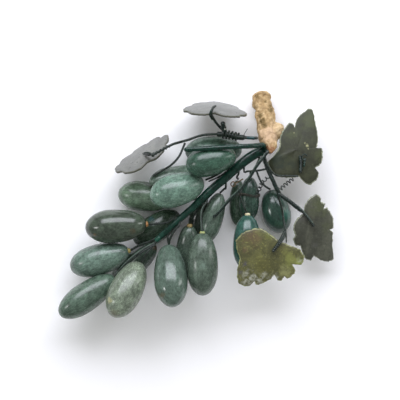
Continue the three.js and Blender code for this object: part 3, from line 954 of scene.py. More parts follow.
# %% [markdown]
# ## Wires that carry the grapes and the leaves
#
# Every wire is wound. Most run into the hole of a grape or into a leaf and slip under the tape of the
# main stem at their other end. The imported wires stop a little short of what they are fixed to, so here
# each route is carried on at both ends: an end near the main stem is led along inside it, and any other
# end goes a little further in its own direction.

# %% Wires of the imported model
INTO_STONE = 1.6 * MM
STEM_REACH = 8 * MM
UNDER_TAPE = 5 * MM


def carry_on(route):
    """The route with its first and last places moved on into what the wire is fixed to."""
    for end, inner in ((0, 1), (-1, -2)):
        tip, before = route[end], route[inner]
        nearest = min(main_line, key=lambda place: (place - tip).length)
        if (nearest - tip).length < STEM_REACH:
            at = main_line.index(nearest)
            back = round(UNDER_TAPE / (main_line[1] - main_line[0]).length)
            more = main_line[max(0, at - back)]
        else:
            more = tip + (tip - before).normalized() * INTO_STONE
        route = [more] + route if end == 0 else route + [more]
    return route


def wind_wire(name, finish=THREAD, slot="thread", **winding):
    """Each wire's lumps are seeded by how many pieces are made already, so no two are alike."""
    node = "wire_" + name if "wire_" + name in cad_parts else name
    route = read_route(node)
    radius = route[0][1] / MM
    places = carry_on([middle for middle, thickness in route])
    points, faces = wound(places, radius, seed=len(made_triangles), **winding)
    make_piece("wound_" + name, points, faces, finish, [node])


for name in ("far_left", "left_middle", "low_speckled", "low_middle", "low_right", "behind_low",
             "slim_front", "pale_left", "right_dark", "right_coiled", "right_large", "teal",
             "leaf_left", "leaf_top", "leaf_right", "leaf_front", "leaf_big", "grey_behind", "cross",
             "tie", "top_root", "pale_front", "left_low", "wrapping_top"):
    wind_wire(name)
wind_wire("wrapping_leaf_big", STEM_DARK, "stem_green")
wind_wire("stem_smooth", STEM_TAPE, "stem_green", pitch=1.6, depth=0.05)
wind_wire("stem_right", STEM_DARK, "stem_green", depth=0.06)
wind_wire("stem_front", STEM_DARK, "stem_pale", depth=0.05)
print("wound pieces:", count_made("wound_"))

# %% [markdown]
# ## The vine twig
#
# The bunch hangs from a piece of real vine wood, the colour of sand: a knob at its end over a crease,
# a stub that rises out of a broad shoulder on its right, a pinkish lower part, and a reddish pointed
# foot. The wood is lumpy and wrinkled and hardly shows its fibres. It is made like the stems, as a rod,
# and the stub is a second, shorter rod that starts inside the first. Each place of their paths has its
# own radius, noise adds lumps, and the wrinkles lie where a second noise crosses zero. How deep a
# wrinkle or the crease is goes along as a mark, and the finish paints shade there.

# %% Paths of the twig and its stub
# across, up and height in millimetres from the middle of the bunch, and the radius there
TWIG = [(47.9, 85.2, 6.8, 5.6), (48.3, 82.5, 7.8, 6.7), (48.5, 79.5, 8.9, 7.1), (50.1, 74.2, 11.8, 6.7),
        (51.1, 69.8, 14.2, 7.1), (51.7, 65.2, 16.6, 7.5), (51.9, 61.2, 18.5, 7.5), (53.3, 54.5, 22, 7.3),
        (52.8, 51, 24, 7.8), (53.9, 48, 25.8, 6.7), (55.1, 43.5, 29, 4.9), (54.7, 40.2, 31.4, 2.4),
        (54.5, 38.6, 32.3, 1.2)]
STUB = [(54.5, 54.5, 20, 7), (58, 55.2, 21, 6.8), (61.4, 57.4, 21.4, 5), (64.8, 59.6, 21.6, 3)]
TWIG_STEP = 0.35 * MM
TWIG_SIDES, STUB_SIDES = 96, 56
print("twig, mm:", round((spot(TWIG[0][:3]) - spot(TWIG[-1][:3])).length / MM))

# %% [markdown]
# ## Lumps, wrinkles and a crease
#
# The noise is read on the surface of an even rod, so that it runs on round the twig without a seam.
# Only the twig itself was sawn off. Its sawn end is rounded to a knob, and the crease under the knob
# runs askew. What is thin, such as the foot, gets smaller lumps.

# %% Growing the wood
BARK_RADIUS = 7
BARK_STRETCH = 0.7
WRINKLE_WIDTH = 0.13
LUMP_SIZE, LUMP_RISE, LUMP_CUT = 5.0, 1.4, 0.35
FINE_SIZE, FINE_RISE, FINE_CUT = 2.0, 0.8, 0.22
THICK_FROM = 5
CREASE_AT, CREASE_WIDTH, CREASE_DEPTH = 6.2, 0.8, 0.5
KNOB_ROUND = 3.0


def wrinkle(distance, angle, size):
    """Noise over the surface of a rod, and how near it is to zero, where a wrinkle is cut."""
    side, front = BARK_RADIUS * math.cos(angle), BARK_RADIUS * math.sin(angle)
    around = Vector((side, front, distance / MM * BARK_STRETCH))
    second = noise.noise(around / (size * 0.8) + Vector((5, 0, 2)))
    return noise.noise(around / size), max(0.0, 1 - abs(second) / WRINKLE_WIDTH)


def grow_wood(name, stations, sides, sawn, replaces=()):
    """A rod of wood along the stations. A sawn one has the knob and the crease."""
    places = [spot(station[:3]) for station in stations]
    line = smooth_line(places, TWIG_STEP)
    walked = np.cumsum([0] + [(b - a).length for a, b in zip(places, places[1:])])
    stretch = walked[-1] / (TWIG_STEP * (len(line) - 1))
    radii = [station[3] for station in stations]
    crease_shade = []

    def radius_at(distance, angle):
        radius = float(np.interp(distance * stretch, walked, radii))
        lump, cut = wrinkle(distance, angle, LUMP_SIZE)
        small, fine_cut = wrinkle(distance, angle, FINE_SIZE)
        share = min(1.0, radius / THICK_FROM)
        radius += share * (LUMP_RISE * lump + FINE_RISE * small - LUMP_CUT * cut - FINE_CUT * fine_cut)
        crease = 0.0
        if sawn:
            off = (distance / MM - CREASE_AT - 2.2 * math.sin(angle + 0.6)) / CREASE_WIDTH
            crease = math.exp(-off * off)
            knob = max(0.0, 1 - distance / MM / KNOB_ROUND)
            radius *= math.sqrt(max(0.0, 1 - 0.75 * knob * knob))
        # Painted shade: the mark is how deep a wrinkle or the crease is, and the finish darkens the wood
        # there.
        crease_shade.append(min(1.0, max(crease, 0.7 * cut + 0.15 * fine_cut)))
        return (radius - CREASE_DEPTH * crease) * MM

    points, faces = rod(line, radius_at, sides, blunt=sawn)
    keep_above_table(points)
    make_piece(name, points, faces, VINE_WOOD, replaces, crease_shade + [0.0, 0.0])


# %% [markdown]
# ## The colours of the wood
#
# Sand and cream clouds come first. Two broad stains make the lower part pinkish and the foot reddish
# brown, a third paints light on the stub, which lies in shade, and seven small ones lay olive brown
# spots on the bark. The marks then paint shade into the wrinkles and the crease.

# %% Finish of the wood and the two pieces
SAND, CREAM, OLIVE, CREASE_SHADE_COLOUR = (170, 142, 98), (198, 172, 130), (98, 80, 36), (122, 88, 48)
PINK, PAINTED_LIGHT_ON_STUB, RED_FOOT = (204, 174, 144), (214, 190, 150), (124, 70, 36)
OLIVE_SPOTS = [(47.8, 66.5, 3.2), (48.9, 62.8, 3.2), (50.4, 59.4, 2.6), (55.6, 75, 3.4), (55.4, 71.4, 2.8),
           (51.5, 77.6, 1.8), (45.5, 82, 2.2)]
# The pale stub patch is painted light on the stub, which lies in shade.
WOOD_PATCHES = [(54, 53, 11, PINK, 0.75), (61, 59, 7, PAINTED_LIGHT_ON_STUB, 0.8), (54.8, 41, 5, RED_FOOT, 0.95)]
WOOD_PATCHES += [(across, up, radius, OLIVE, 0.9) for across, up, radius in OLIVE_SPOTS]


def wood_finish():
    wood = Finish("vine_wood", IOR=1.45)
    place = wood.place()
    sand = linear(*SAND)
    broad = wood.clouds(4, place, detail=5, rough=0.65)
    base = wood.ramp(broad, [(0.36, shade(sand, 0.72)), (0.48, sand), (0.62, linear(*CREAM))])
    for lay_patch in WOOD_PATCHES:
        base = wood.lay_patch(base, *lay_patch)
    # Painted shade in the wrinkles and the crease, read from the marks.
    marks = wood.node("ShaderNodeAttribute", attribute_name="marks")
    painted_shade = wood.ramp(marks.outputs["Fac"], [(0.35, 0.0), (1.0, 0.5)])
    base = wood.mix(painted_shade, base, linear(*CREASE_SHADE_COLOUR))
    wood.colour(base)
    wood.roughness(broad, 0.6, 0.85)
    wood.bump(wood.clouds(0.7, place, detail=4, rough=0.7), 0.2, 0.7)
    return wood.material


VINE_WOOD = wood_finish()
grow_wood("vine_twig", TWIG, TWIG_SIDES, True, ["twig"])
grow_wood("vine_twig_stub", STUB, STUB_SIDES, False)
print("wooden pieces:", count_made("vine_"))

# %% [markdown]
# ## Thin leaves of stone
#
# The leaves are sawn from thin slabs of a browner stone and carved like vine leaves: lobes and
# notches round the rim, a bevel along it, and shallow veins that run from the stalk to the tips of
# the lobes. A grid would give the rim steps. So each leaf is a fan: copies of its rim, made smaller
# and smaller towards the stalk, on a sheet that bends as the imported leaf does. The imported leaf
# gives its stalk, its half-size ring and its rim, on both of its faces. Its two stalk corners are the
# ones that are joined to the most others.

# %% Reading a packed leaf
CURVE_PULL = 0.36


def packed_fan(node):
    """The stalk point, the inner ring and the rim of the upper face of a leaf, and of its lower face."""
    corners, nearby = weld(node)
    by_joins = sorted(range(len(corners)), key=lambda at: len(nearby[at]))
    stalks = sorted(by_joins[-2:], key=lambda at: -corners[at].z)
    fans = []
    for stalk in stalks:
        inner = nearby[stalk]
        ring = [min(inner)]
        ring.append(min(nearby[ring[0]] & inner))
        while len(ring) < len(inner):
            ring.append((nearby[ring[-1]] & inner - set(ring)).pop())
        middle = corners[stalk]
        rim = []
        for at in ring:
            goal = corners[at] * 2 - middle
            outer = nearby[at] - inner - {stalk}
            rim.append(corners[min(outer, key=lambda other: (corners[other] - goal).length)])
        fans.append((middle, [corners[at] for at in ring], rim))
    return fans


def closed_curve(places, parts):
    """Points on a smooth closed curve through the places, with this many parts between two of them."""
    found = []
    count = len(places)
    for at in range(count):
        before, start, end, after = (places[(at + k) % count] for k in (-1, 0, 1, 2))
        leave, arrive = (end - before) * CURVE_PULL, (after - start) * CURVE_PULL
        for part in range(parts):
            t = part / parts
            rise = t * t * (3 - 2 * t)
            found.append(start * (1 - rise) + end * rise
                         + leave * t * (1 - t) ** 2 - arrive * t * t * (1 - t))
    return found


# %% [markdown]
# ## Veins of a leaf
#
# The veins run from the stalk to the tips of the lobes, which are the corners of the rim that stand
# out furthest among their neighbours. From two places on each main vein weaker side veins branch off
# and lean towards the lobes next to it. A place is cut as deep as the strongest vein there cuts it, and
# between the veins the surface swells softly. A fine line follows the rim.

# %% Veins
VEIN_DEPTH = 0.14
VEIN_HALF_WIDTH = 0.6
SIDE_VEIN = 0.6
SIDE_VEINS_AT = (0.42, 0.66)
RIM_LINE_IN = 1.6
RIM_LINE_DEPTH, RIM_LINE_WIDTH = 0.12, 0.35
SWELL, SWELL_FROM = 0.1, 2.2
FAR_FROM_VEINS = 9.0
NEIGHBOURS = 4
LOBE_FROM = 12 * MM


def lobe_tips(rim, stalk):
    """The rim's corners that stand out furthest among their neighbours."""
    reach = [(place - stalk).length for place in rim]
    count = len(rim)
    tips = []
    for at in range(count):
        around = [reach[(at + k) % count] for k in range(-NEIGHBOURS, NEIGHBOURS + 1)]
        if reach[at] == max(around) and reach[at] > LOBE_FROM:
            tips.append(rim[at])
    return tips


def to_segment(place, start, end):
    """Distance of a place from a line between two points, and how far along the nearest point is."""
    along = end - start
    share = max(0.0, min(1.0, (place - start).dot(along) / along.length_squared))
    return (place - start - along * share).length, share


def vein_lines(stalk, tips):
    """The main veins from the stalk to the tips, and the side veins that branch off them."""
    veins = []
    for tip in tips:
        veins.append((stalk, tip.lerp(stalk, 0.12), 1.0))
        for share in SIDE_VEINS_AT:
            root = stalk.lerp(tip, share)
            for other in tips:
                turned = other - stalk
                if 0.1 < turned.angle(tip - stalk, 0) < 1.3:
                    end = root + (tip - root) * 0.45 + turned * 0.17
                    veins.append((root, end, SIDE_VEIN))
    return veins


def carving(place, veins, to_rim):
    """How far the surface is cut in at a place of the leaf, in millimetres."""
    cut = 0.0
    nearest = FAR_FROM_VEINS
    for start, end, strength in veins:
        distance, share = to_segment(place, start, end)
        distance /= MM
        width = VEIN_HALF_WIDTH * strength * (1.15 - 0.6 * share)
        cut = max(cut, VEIN_DEPTH * strength * math.exp(-(distance / width) ** 2))
        nearest = min(nearest, distance)
    swell = SWELL * (1 - math.exp(-(nearest / SWELL_FROM) ** 2))
    line = RIM_LINE_DEPTH * math.exp(-((to_rim - RIM_LINE_IN) / RIM_LINE_WIDTH) ** 2)
    return cut + line - swell


# %% [markdown]
# ## Carving a leaf
#
# Every corner of the fan lies at a share of the way from the stalk to the rim. The sheet's height
# there is read off between stalk, inner ring and rim. Then the carving is cut, deeper on the upper
# face than on the lower one, and a bevel thins the edge. The edge of a stone leaf chips easily, so two
# noises bite into it. How far in the bevel a corner lies goes along as a mark, so that the finish can
# colour the rim: paler on most leaves, partly chipped stone and partly painted highlight, with a line
# of painted shade inside it.

# %% One corner of a leaf
PARTS_OF_SPAN = 5
LEAF_SHARES = [0.04 + 0.86 * ring / 15 for ring in range(16)] + [0.925, 0.945, 0.96, 0.975, 0.99, 1.0]
EDGE_WIDTH = 1.9
CHIP, CHIP_SIZE = 0.6, 2.4 * MM
SMALL_CHIP, SMALL_CHIP_SIZE = 0.5, 1.0 * MM
CHIP_INWARD = 0.1
EDGE_THINNER = 0.36
LOWER_CUT = 0.5


def chip_at(full, seed):
    """How far the rim stands out at one of its places, in millimetres."""
    chip = noise.noise(full / CHIP_SIZE + Vector((seed, 0, 0))) * CHIP
    chip += noise.noise(full / SMALL_CHIP_SIZE + Vector((0, seed, 0))) * SMALL_CHIP
    return chip - CHIP_INWARD


def leaf_corner(stalk, half, full, share, seed):
    """The corner at a share of the way out, on a smooth curve through stalk, inner ring and rim."""
    at_stalk, at_inner = (2 * share - 1) * (share - 1), 4 * share * (1 - share)
    place = stalk * at_stalk + half * at_inner + full * (share * (2 * share - 1))
    return place + (full - stalk).normalized() * chip_at(full, seed) * MM * share ** 8


def fan_faces(rings, count, stalk_upper):
    """Faces of the upper and the lower fan, joined along the rim and closed at the two stalk corners."""
    lower_start = rings * count
    last_upper, last_lower = (rings - 1) * count, lower_start + (rings - 1) * count
    faces = [tuple(reversed(face)) for face in ring_faces(rings, count)]
    faces += [tuple(at + lower_start for at in face) for face in ring_faces(rings, count)]
    for at in range(count):
        after = (at + 1) % count
        faces.append((last_upper + at, last_lower + at, last_lower + after, last_upper + after))
        faces.append((stalk_upper, at, after))
        faces.append((stalk_upper + 1, lower_start + after, lower_start + at))
    return faces


# %% [markdown]
# ## The whole leaf
#
# The upper and the lower side are laid corner by corner, and every polygon is turned over if the rim
# was read clockwise. A leaf that is seen nearly on edge shows its thickness, so it is thinned less
# towards its rim, and it is carved less.

# %% A carved leaf
def carve_leaf(node, finish, seed, depth, thinned):
    """depth is the share of the carving that is cut, and thinned the share that the bevel takes off."""
    upper, lower = packed_fan(node)
    stalk = upper[0]
    away = (stalk - lower[0]).normalized()
    thickness = (stalk - lower[0]).length
    tips = lobe_tips(upper[2], stalk)
    veins = vein_lines(stalk, tips)
    inner, rim = (closed_curve(ring, PARTS_OF_SPAN) for ring in upper[1:])
    points, marks = [], []
    for side in (1, -1):
        for share in LEAF_SHARES:
            for half, full in zip(inner, rim):
                place = leaf_corner(stalk, half, full, share, seed)
                to_rim = (1 - share) * ((full - stalk).length / MM)
                cut = carving(place, veins, to_rim) * depth
                cut *= min(1.0, share / 0.15) * min(1.0, to_rim / 1.2 + 0.1)
                bevel = max(0.0, 1 - to_rim / EDGE_WIDTH)
                body = thickness * (1 - EDGE_THINNER * share) * (1 - thinned * bevel ** 2)
                if side > 0:
                    down = thickness / 2 - body / 2 + cut * MM
                else:
                    down = thickness / 2 + body / 2 - LOWER_CUT * cut * MM
                points.append(place - away * down)
                marks.append(bevel)
    faces = fan_faces(len(LEAF_SHARES), len(rim), len(points))
    points += [stalk, stalk - away * thickness]
    marks += [0.0, 0.0]
    if (rim[1] - rim[0]).cross(stalk - rim[0]).dot(away) < 0:
        faces = [tuple(reversed(face)) for face in faces]
    keep_above_table(points)
    make_piece("stone_" + node, points, faces, finish, [node], marks)
    return len(tips)


# %% [markdown]
# ## The stone of the leaves
#
# Four leaves are cut from a dark stone between olive and grey. Two of them, at the top and on the left,
# are seen nearly on edge, so they catch the light as a paler grey above a thick dark olive rim; their
# colours are paler too, partly their own lighter stone and partly painted reflection of that light. The
# front leaf is a livelier piece: yellow green towards its lobes, reddish brown at its top, with bluish
# grey spots and whitish smears along its lower rim. One recipe lays clouds over an even tone, draws
# them out where the stone is banded, and takes patches as the grapes do; two dark patches on the big
# leaf are painted shade in the hollow under its fold. The smears are patches that a second noise has
# torn up. The rim takes its own colour where it was bevelled: where it is pale, that is partly chipped
# stone and partly painted highlight, and the darker line inside it is painted shade in the carved line.

# %% Finish of a leaf
LEAF_CLOUDS, LEAF_FINE, LEAF_SPECKS, LEAF_TORN = 12, 2.4, 1.3, 4.5
SMEAR = (176, 178, 164)
RIM_CHIPS_AND_HIGHLIGHT = (150, 156, 132)


def leaf_finish(name, colour, second, patches, smears=(), polish=(0.34, 0.5), banded=(1, 1, 1),
                IOR=1.6, rim=RIM_CHIPS_AND_HIGHLIGHT, rim_least=0.1, specks=0.35):
    """colour and second are the dark and the light clouds, rim_least is how much of the rim's colour
    shows where the fine noise is lowest, and specks is how strongly the pale specks show."""
    stone = Finish(name, IOR=IOR)
    place = stone.place()
    tone, other = linear(*colour), linear(*second)
    broad = stone.clouds(LEAF_CLOUDS, stone.place(stretch=banded), detail=6, rough=0.6, warp=0.6)
    base = stone.ramp(broad, [(0.36, shade(tone, 0.8)), (0.48, tone), (0.62, other)])
    fine = stone.clouds(LEAF_FINE, place, detail=5, rough=0.7)
    base = stone.mix(stone.ramp(fine, [(0.34, 0.6), (0.52, 0.0)]), base, shade(tone, 0.5))
    for patch in patches:
        base = stone.lay_patch(base, *patch)
    light = stone.clouds(LEAF_SPECKS, place, detail=4, rough=0.75)
    base = stone.mix(stone.ramp(light, [(0.56, 0.0), (0.68, specks)]), base, shade(other, 2.2))
    torn = stone.clouds(LEAF_TORN, place, detail=6, rough=0.7, warp=0.4)
    torn = stone.ramp(torn, [(0.44, 0.0), (0.6, 0.75)])
    for smear in smears:
        base = stone.mix(stone.times(torn, stone.near(*smear)), base, linear(*SMEAR))
    marks = stone.node("ShaderNodeAttribute", attribute_name="marks")
    # Painted shade: a darker line just inside the bevel, where the carved line runs.
    painted_shade_line = stone.ramp(marks.outputs["Fac"], [(0.1, 0.0), (0.3, 0.5), (0.5, 0.0)])
    base = stone.mix(painted_shade_line, base, shade(tone, 0.35))
    # The rim's colour over the bevel: where it is pale, it is partly chipped stone and partly a painted
    # highlight.
    worn = stone.ramp(marks.outputs["Fac"], [(0.46, 0.0), (0.64, 1.0)])
    worn = stone.times(worn, stone.ramp(fine, [(0.42, rim_least), (0.56, 0.9)]))
    base = stone.mix(worn, base, linear(*rim))
    stone.colour(base)
    stone.roughness(fine, *polish)
    stone.bump(fine, 0.06, 0.4)
    return stone.material


# %% [markdown]
# ## Five leaves
#
# The list gives each leaf its two tones, its patches, which are written like those of the grapes, and
# what else its stone needs.

# %% Leaves and their patches
OLIVE_GREY, LIGHT_OLIVE = (53, 56, 38), (59, 63, 42)
MOSS = (78, 86, 50)
SMOKE = (84, 84, 78)
FLECK = (164, 164, 120)
REDDISH, REDDER = (92, 68, 50), (96, 66, 52)
LEAF_GREEN, LEAF_DARK = (98, 104, 36), (84, 82, 38)
VIOLET, DEEP_VIOLET = (74, 70, 88), (70, 68, 86)
LIME, BRIGHT_LIME, DUSTY = (128, 134, 66), (142, 154, 72), (140, 142, 92)
STANDING = {"IOR": 1.8, "polish": (0.25, 0.4), "rim_least": 0.8}
LEAVES = [
    # The paler grey of these two leaves is partly their own lighter stone and partly painted reflection of
    # the light they catch on edge.
    ("leaf_top", (94, 96, 90), (108, 110, 104), [], STANDING | {"rim": (60, 62, 36)}),
    ("leaf_left", (90, 92, 86), (104, 106, 98), [], STANDING | {"rim": (58, 60, 34)}),
    ("leaf_big", OLIVE_GREY, LIGHT_OLIVE,
     [(85, 66, 12, MOSS, 0.5), (92, 38, 7, MOSS, 0.5), (71.5, 53, 6, MOSS, 0.5),
      (82.4, 44.5, 1.5, FLECK, 0.8), (72.5, 54, 0.8, FLECK, 0.5), (80.6, 46.2, 0.9, FLECK, 0.6),
      (83, 42.2, 0.9, FLECK, 0.6), (93.5, 39, 1, FLECK, 0.7), (96, 24, 5, SMOKE, 0.7),
      # These two dark patches on the big leaf are painted shade, for the hollow under its fold.
      (60, 33, 9, DEEP, 0.65), (72, 30, 6, DEEP, 0.4)],
     {"IOR": 1.42, "polish": (0.44, 0.6), "rim_least": 0.4}),
    ("leaf_right", (68, 70, 58), (84, 86, 72),
     [(93, 0, 12, MOSS, 0.6), (78, -38, 6, MOSS, 0.5), (99, -16, 7, MOSS, 0.4),
      (78, -10, 6, SMOKE, 0.5), (88, -30, 3, SMOKE, 0.5)],
     {"banded": (1, 0.12, 1), "rim_least": 0.3}),
    ("leaf_front", (84, 84, 46), (104, 104, 54),
     [(41, -24, 9, REDDISH, 0.6), (53, -22, 5, LEAF_GREEN, 0.7), (36, -33, 4, REDDER, 0.4),
      (35.5, -43.5, 2.6, VIOLET, 0.7), (32, -50, 2.6, DEEP_VIOLET, 0.65), (70, -40, 9, LIME, 0.6),
      (77, -43, 5, BRIGHT_LIME, 0.6), (66, -51, 7, DUSTY, 0.75), (48, -46, 9, LEAF_DARK, 0.6)],
     {"smears": [(37, -54, 11), (48, -56, 9), (58, -55, 6), (78, -41, 5)], "rim": (146, 150, 100),
      "specks": 0.7}),
]
STANDING_LEAVES = ("leaf_top", "leaf_left")
LEAF_SEED_STEP = 3.7
for seed, (node, colour, second, patches, more) in enumerate(LEAVES):
    slot = "leaf_mottled" if node == "leaf_front" else "leaf_grey"
    finish = leaf_finish("stone_" + node, colour, second, patches, **more)
    depth, thinned = (0.12, 0.1) if node in STANDING_LEAVES else (1.0, 0.75)
    tips = carve_leaf(node, finish, seed * LEAF_SEED_STEP, depth, thinned)
    print(node, "lobes with a vein:", tips)

# %% [markdown]
# ## Loose ends
#
# A hand-made bunch is full of loose ends: strands of thread that run along a wire, curled tendrils
# that are springs of fine wire, a thread ring, a loop of brown thread, and knots where two wires part.
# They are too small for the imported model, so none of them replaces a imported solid. A spring is a wire
# whose route winds round another one, so one helper makes the winding route and the rod above gives it
# its body.

# %% Springs, fine wires and strands
FINE_SIDES = 8
FINE_LUMPS = 0.1
SPRING_STEP = 0.3 * MM
SPRING_POINTS = 14


def spring_route(places, coil, turns, taper=0.0):
    """Points that wind round a smooth line through the places, in millimetres from the middle."""
    line = smooth_line(spots(places), SPRING_STEP)
    ways = directions_along(line)
    found = []
    for at in range(turns * SPRING_POINTS + 1):
        share = at / (turns * SPRING_POINTS)
        index = min(len(line) - 1, round(share * (len(line) - 1)))
        forward, aside, across = ways[index]
        angle = 2 * math.pi * at / SPRING_POINTS
        size = coil * (1 - taper * share) * MM
        found.append(line[index] + (aside * math.cos(angle) + across * math.sin(angle)) * size)
    return found


def fine_wire(name, places, radius, finish, step=0.25):
    """A thin unwound wire or thread through places of the frame."""
    line = smooth_line(places, step * MM)

    def radius_at(distance, angle):
        lump = noise.noise(Vector((distance / MM, math.cos(angle), radius)))
        return radius * MM * (1 + FINE_LUMPS * lump)

    points, faces = rod(line, radius_at, FINE_SIDES)
    make_piece(name, points, faces, finish)


def pull_strand(name, node, lift, radius, finish, part=(0.0, 1.0)):
    """A thin strand that runs along a packed wire, moved off its middle by lift, in millimetres. It
    takes every fourth point, because its route is smoothed once more."""
    route = [place + Vector(lift) * MM for place, thickness in read_route(node)]
    line = smooth_line(route, SPRING_STEP)
    first, last = (round(share * (len(line) - 1)) for share in part)
    fine_wire(name, line[first:last + 1:4], radius, finish)


# %% [markdown]
# ## Strands along the wires
#
# Where the winding is doubled, a second dark thread lies beside it and makes two of the wires look
# twice as thick. The pale strands are painted highlights: pale thread that stands for the line of light
# along the thin stems. Each one is moved off the middle of its wire, and one of them ends halfway.

# %% Strands
STRANDS = [
    # The pale strands are painted highlights along the thin stems.
    ("strand_front", "stem_front", (-0.6, 0.5, 1.0), 0.17, PAINTED_HIGHLIGHT_STRAND),
    ("strand_left_low", "wire_left_low", (-0.6, 0.6, 0.8), 0.2, PAINTED_HIGHLIGHT_STRAND),
    ("strand_left_low_dark", "wire_left_low", (0.9, -0.8, 0.5), 0.75, THREAD),
    ("strand_low_right", "wire_low_right", (-0.5, 0.1, 0.75), 0.14, PAINTED_HIGHLIGHT_STRAND),
    ("strand_pale_front", "wire_pale_front", (0.9, -1.7, 0.2), 0.6, THREAD),
    ("strand_leaf_right", "wire_leaf_right", (0.4, 0.5, 1.0), 0.16, PAINTED_HIGHLIGHT_STRAND, (0.0, 0.55)),
]
for strand in STRANDS:
    pull_strand(*strand)
print("strands:", count_made("strand_"))

# %% [markdown]
# ## Tendrils
#
# A vine holds on with curled tendrils. Here each is a spring of dark wire, wound round a short run that
# is given as a few places.

# %% Two tendrils
TENDRIL_RADIUS = 0.42
UPPER_RUN = [(43.5, 8.5, 21), (46.5, 11.5, 25), (48, 15.5, 29.5), (50.8, 19, 32.5), (53.5, 21.5, 34.5)]
RIGHT_RUN = [(62, 11.5, 31.5), (64.8, 14.2, 31), (68.2, 17, 30.5), (72.5, 20, 30)]
fine_wire("tendril_upper", spring_route(UPPER_RUN, coil=1.15, turns=6), TENDRIL_RADIUS, THREAD)
fine_wire("tendril_right", spring_route(RIGHT_RUN, coil=1.25, turns=5), TENDRIL_RADIUS, THREAD)
print("tendrils:", count_made("tendril_"))

# %% [markdown]
# ## A ring, a loop and a stray thread
#
# Brown thread was wound into a cord and laid round the neck of one grape on the right. A ring would
# look stamped, so the cord's route winds round the grape's own outline and sways a little up and down.
# A loop of brighter brown thread hangs near it, and a dark end sticks up near the wrapped joint.

# %% Loose threads
NECK_AT = 0.39
NECK_GAP, NECK_SWAY = 0.35 * MM, 0.5 * MM
CORD_OUT, CORD_RISE = 0.5 * MM, 0.8 * MM
CORD_TURNS, CORD_POINTS = 40, 10
LOOP_MIDDLE, LOOP_RADIUS, LOOP_CLIMB = (27, 15.6, 27), 1.7, 0.3
LOOP_TAIL = [(31, 17.5, 29.2), (34.5, 19.5, 30)]
STRAY_RUN = [(34.4, 50.5, 29), (35.6, 53.5, 30.5), (37.8, 57, 31)]


def neck_ring():
    """A spring of brown thread laid round the neck of the coiled grape."""
    stem, free, width = grape_places["right_coiled"]
    turn = (free - stem).normalized().to_track_quat("Z", "Y")
    height = stem + (free - stem) * NECK_AT
    radius = egg_radius(2 * NECK_AT - 1, width / 2) + NECK_GAP
    found = []
    for at in range(CORD_TURNS * CORD_POINTS + 1):
        round_grape = 2 * math.pi * at / (CORD_TURNS * CORD_POINTS)
        coil = 2 * math.pi * at / CORD_POINTS
        out = radius + CORD_OUT * math.cos(coil)
        rise = CORD_RISE * math.sin(coil) + NECK_SWAY * math.sin(round_grape * 2)
        found.append(height + turn @ Vector((out * math.cos(round_grape), out * math.sin(round_grape), rise)))
    fine_wire("thread_ring", found, 0.3, RING_THREAD, step=0.2)


def arc(middle, wide, high, climb, first, last, count):
    """Places on a rising arc in millimetres, from the first to the last angle."""
    across, up, over = middle
    return [(across + wide * math.cos(angle), up + high * math.sin(angle), over + climb * angle)
            for angle in np.linspace(first, last, count)]


neck_ring()
loop = arc(LOOP_MIDDLE, LOOP_RADIUS, LOOP_RADIUS, LOOP_CLIMB, 0.6, 2 * math.pi + 0.2, 14)
fine_wire("thread_loop", spots(loop + LOOP_TAIL), 0.45, BROWN_THREAD)
fine_wire("stray_thread", spots(STRAY_RUN), 0.22, THREAD)
print("loose threads:", [name for name in made_triangles if "thread_" in name or "_thread" in name])

# %% [markdown]
# ## Round the wrapped joint
#
# Where the wires of the two upper leaves join the twig, the winding was done twice over: a wrapped stub
# with a small white bead on it, which is a painted glint, and loose turns that stand off the joint. A
# bit of the wire next to the twig was left bare. A wound end is a short rod like the wires, and a bead
# is turned on a line.

# %% Stub, bead and loose turns
BEAD_SIDES, BEAD_RINGS = 16, 10


def wound_end(name, places, radius, finish, slot="thread", **winding):
    points, faces = wound(spots(places), radius, **winding)
    make_piece(name, points, faces, finish)


def bead(name, place, radius, finish):
    """A small round blob that stands on a place."""
    profile = []
    for at in range(BEAD_RINGS + 1):
        angle = math.pi * at / BEAD_RINGS
        profile.append((radius * (1 - math.cos(angle)) * MM, radius * math.sin(angle) * MM))
    start = spot(place)
    points, faces = turn_profile(profile, start, start + Vector((0, 0, 1)) * MM, BEAD_SIDES)
    make_piece(name, points, faces, finish)


PAINTED_GLINT_BEAD = thread_finish("bead_painted_glint", (168, 168, 156), contrast=0.12, smooth=0.2, dull=0.34)
STUB_RUN = [(21, 54, 28.5), (19.8, 58, 31), (19.1, 62.1, 33.5)]
JOINT_RUN = [(19, 53.1, 27.4), (24, 52.4, 27.6), (31, 50.8, 27.6)]
ROOT_RUN = [(37.2, 50.2, 28.6), (40.5, 50, 29.4), (43.5, 49.7, 30)]
wound_end("wrapped_stub", STUB_RUN, 1.9, STEM_DARK, "stem_green", lumps=0.25)
# The white bead is a painted glint on the wrapped stub.
bead("stub_bead", (20.8, 56.4, 32.6), 0.6, PAINTED_GLINT_BEAD)
fine_wire("joint_turns", spring_route(JOINT_RUN, coil=3.0, turns=5, taper=0.1), 0.75, THREAD)
wound_end("root_wire_bright", ROOT_RUN, 1.25, BARE_WIRE, "stem_green", depth=0.02)
print("pieces after the joint:", len(made_triangles))

# %% [markdown]
# ## Sleeves and knots
#
# The wire of the front leaf wears a thick coarse sleeve where it runs down to the leaf. The main stem
# ends in a bright blob of tape, and the right stem has a knot where it parts, followed by a thick
# stretch of loose winding. They are all wound rods, and only the pitch, the depth and the lumps differ.

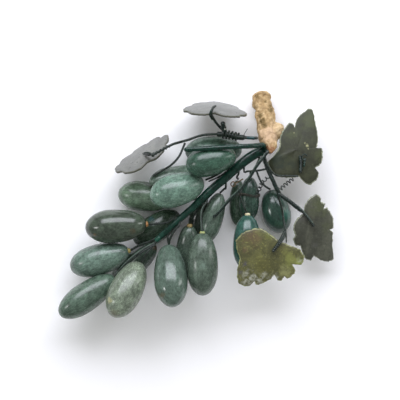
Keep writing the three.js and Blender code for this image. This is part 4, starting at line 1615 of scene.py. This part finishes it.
# %% Sleeve, stem end and knot
SLEEVE_RUN = [(65.6, -19.6, 34.6), (62.4, -25.4, 41.2), (59.2, -30, 44), (55.8, -34.6, 43.8)]
END_RUN = [(-26.8, -23.2, 29.4), (-29.5, -25.6, 29), (-31.2, -27.2, 28.4)]
KNOT_RUN = [(59.4, 8.6, 32.6), (61.2, 7.4, 32.8), (62.6, 6.4, 32.4)]
THICK_RUN = [(62, 7.4, 31.9), (68, 3.4, 31.4), (74, -1.2, 31.2), (78.6, -5, 31)]
wound_end("leaf_front_sleeve", SLEEVE_RUN, 1.5, THREAD, pitch=1.5, depth=0.45)
wound_end("main_stem_end", END_RUN, 2.0, STEM_BRIGHT, "stem_green", pitch=1.4, depth=0.1, lumps=0.2)
wound_end("right_knot", KNOT_RUN, 2.2, STEM_DARK, "stem_green", lumps=0.3)
wound_end("leaf_right_thick", THICK_RUN, 1.55, STEM_DARK, "stem_green", pitch=2.2, depth=0.08, lumps=0.12)
print("pieces after the knot:", len(made_triangles))

# %% [markdown]
# ## Over the leaves
#
# The last pieces hold the leaves: a strand bent over the top leaf, a twisted rope over the left one
# that ends in a blob and a hook, a curl and a wrapped end on the big leaf, and a thin wire beside the
# sleeve of the front one.

# %% Strands, rope, hook and curl
TOP_RUN = [(13, 73.2, 38.4), (10.2, 69.6, 42.4), (9.6, 66.6, 40), (11.4, 63.4, 35.4)]
ROPE_RUN = [(-20.5, 43.8, 42.4), (-25, 41.2, 44), (-30, 38.7, 44), (-32.8, 37.6, 42.8)]
HOOK_RUN = [(-33, 37.6, 43.6), (-36, 38.8, 42.2), (-39.4, 38.8, 38.6)]
CURL_MIDDLE = (80, 35.6, 34.8)
BIG_END_RUN = [(79.6, 28.5, 34.6), (80, 32, 34.9), (80.4, 35, 34.9)]
THIN_RUN = [(66.2, -19.6, 33.6), (66.3, -24, 37), (66.2, -28, 40.6)]
fine_wire("leaf_top_strand", spots(TOP_RUN), 0.6, STEM_TAPE)
fine_wire("leaf_left_rope", spring_route(ROPE_RUN, coil=0.95, turns=5), 0.5, THREAD)
bead("leaf_left_blob", (-32.6, 36.9, 43.2), 1.4, THREAD)
fine_wire("leaf_left_hook", spots(HOOK_RUN), 0.75, THREAD)
fine_wire("leaf_big_curl", spots(arc(CURL_MIDDLE, 1.9, 2.2, 0.15, 0.3, 5.6, 12)), 0.5, STEM_DARK)
wound_end("leaf_big_end", BIG_END_RUN, 0.85, STEM_TAPE, lumps=0.2)
fine_wire("leaf_front_thin", spots(THIN_RUN), 0.5, THREAD)
print("small pieces on the leaves:", count_made("leaf_"))

# %% [markdown]
# ## Done
#
# The last line prints how many pieces were made and how many triangles they have.

# %% Count the pieces
print("pieces:", len(made_triangles), "triangles:", sum(made_triangles.values()))
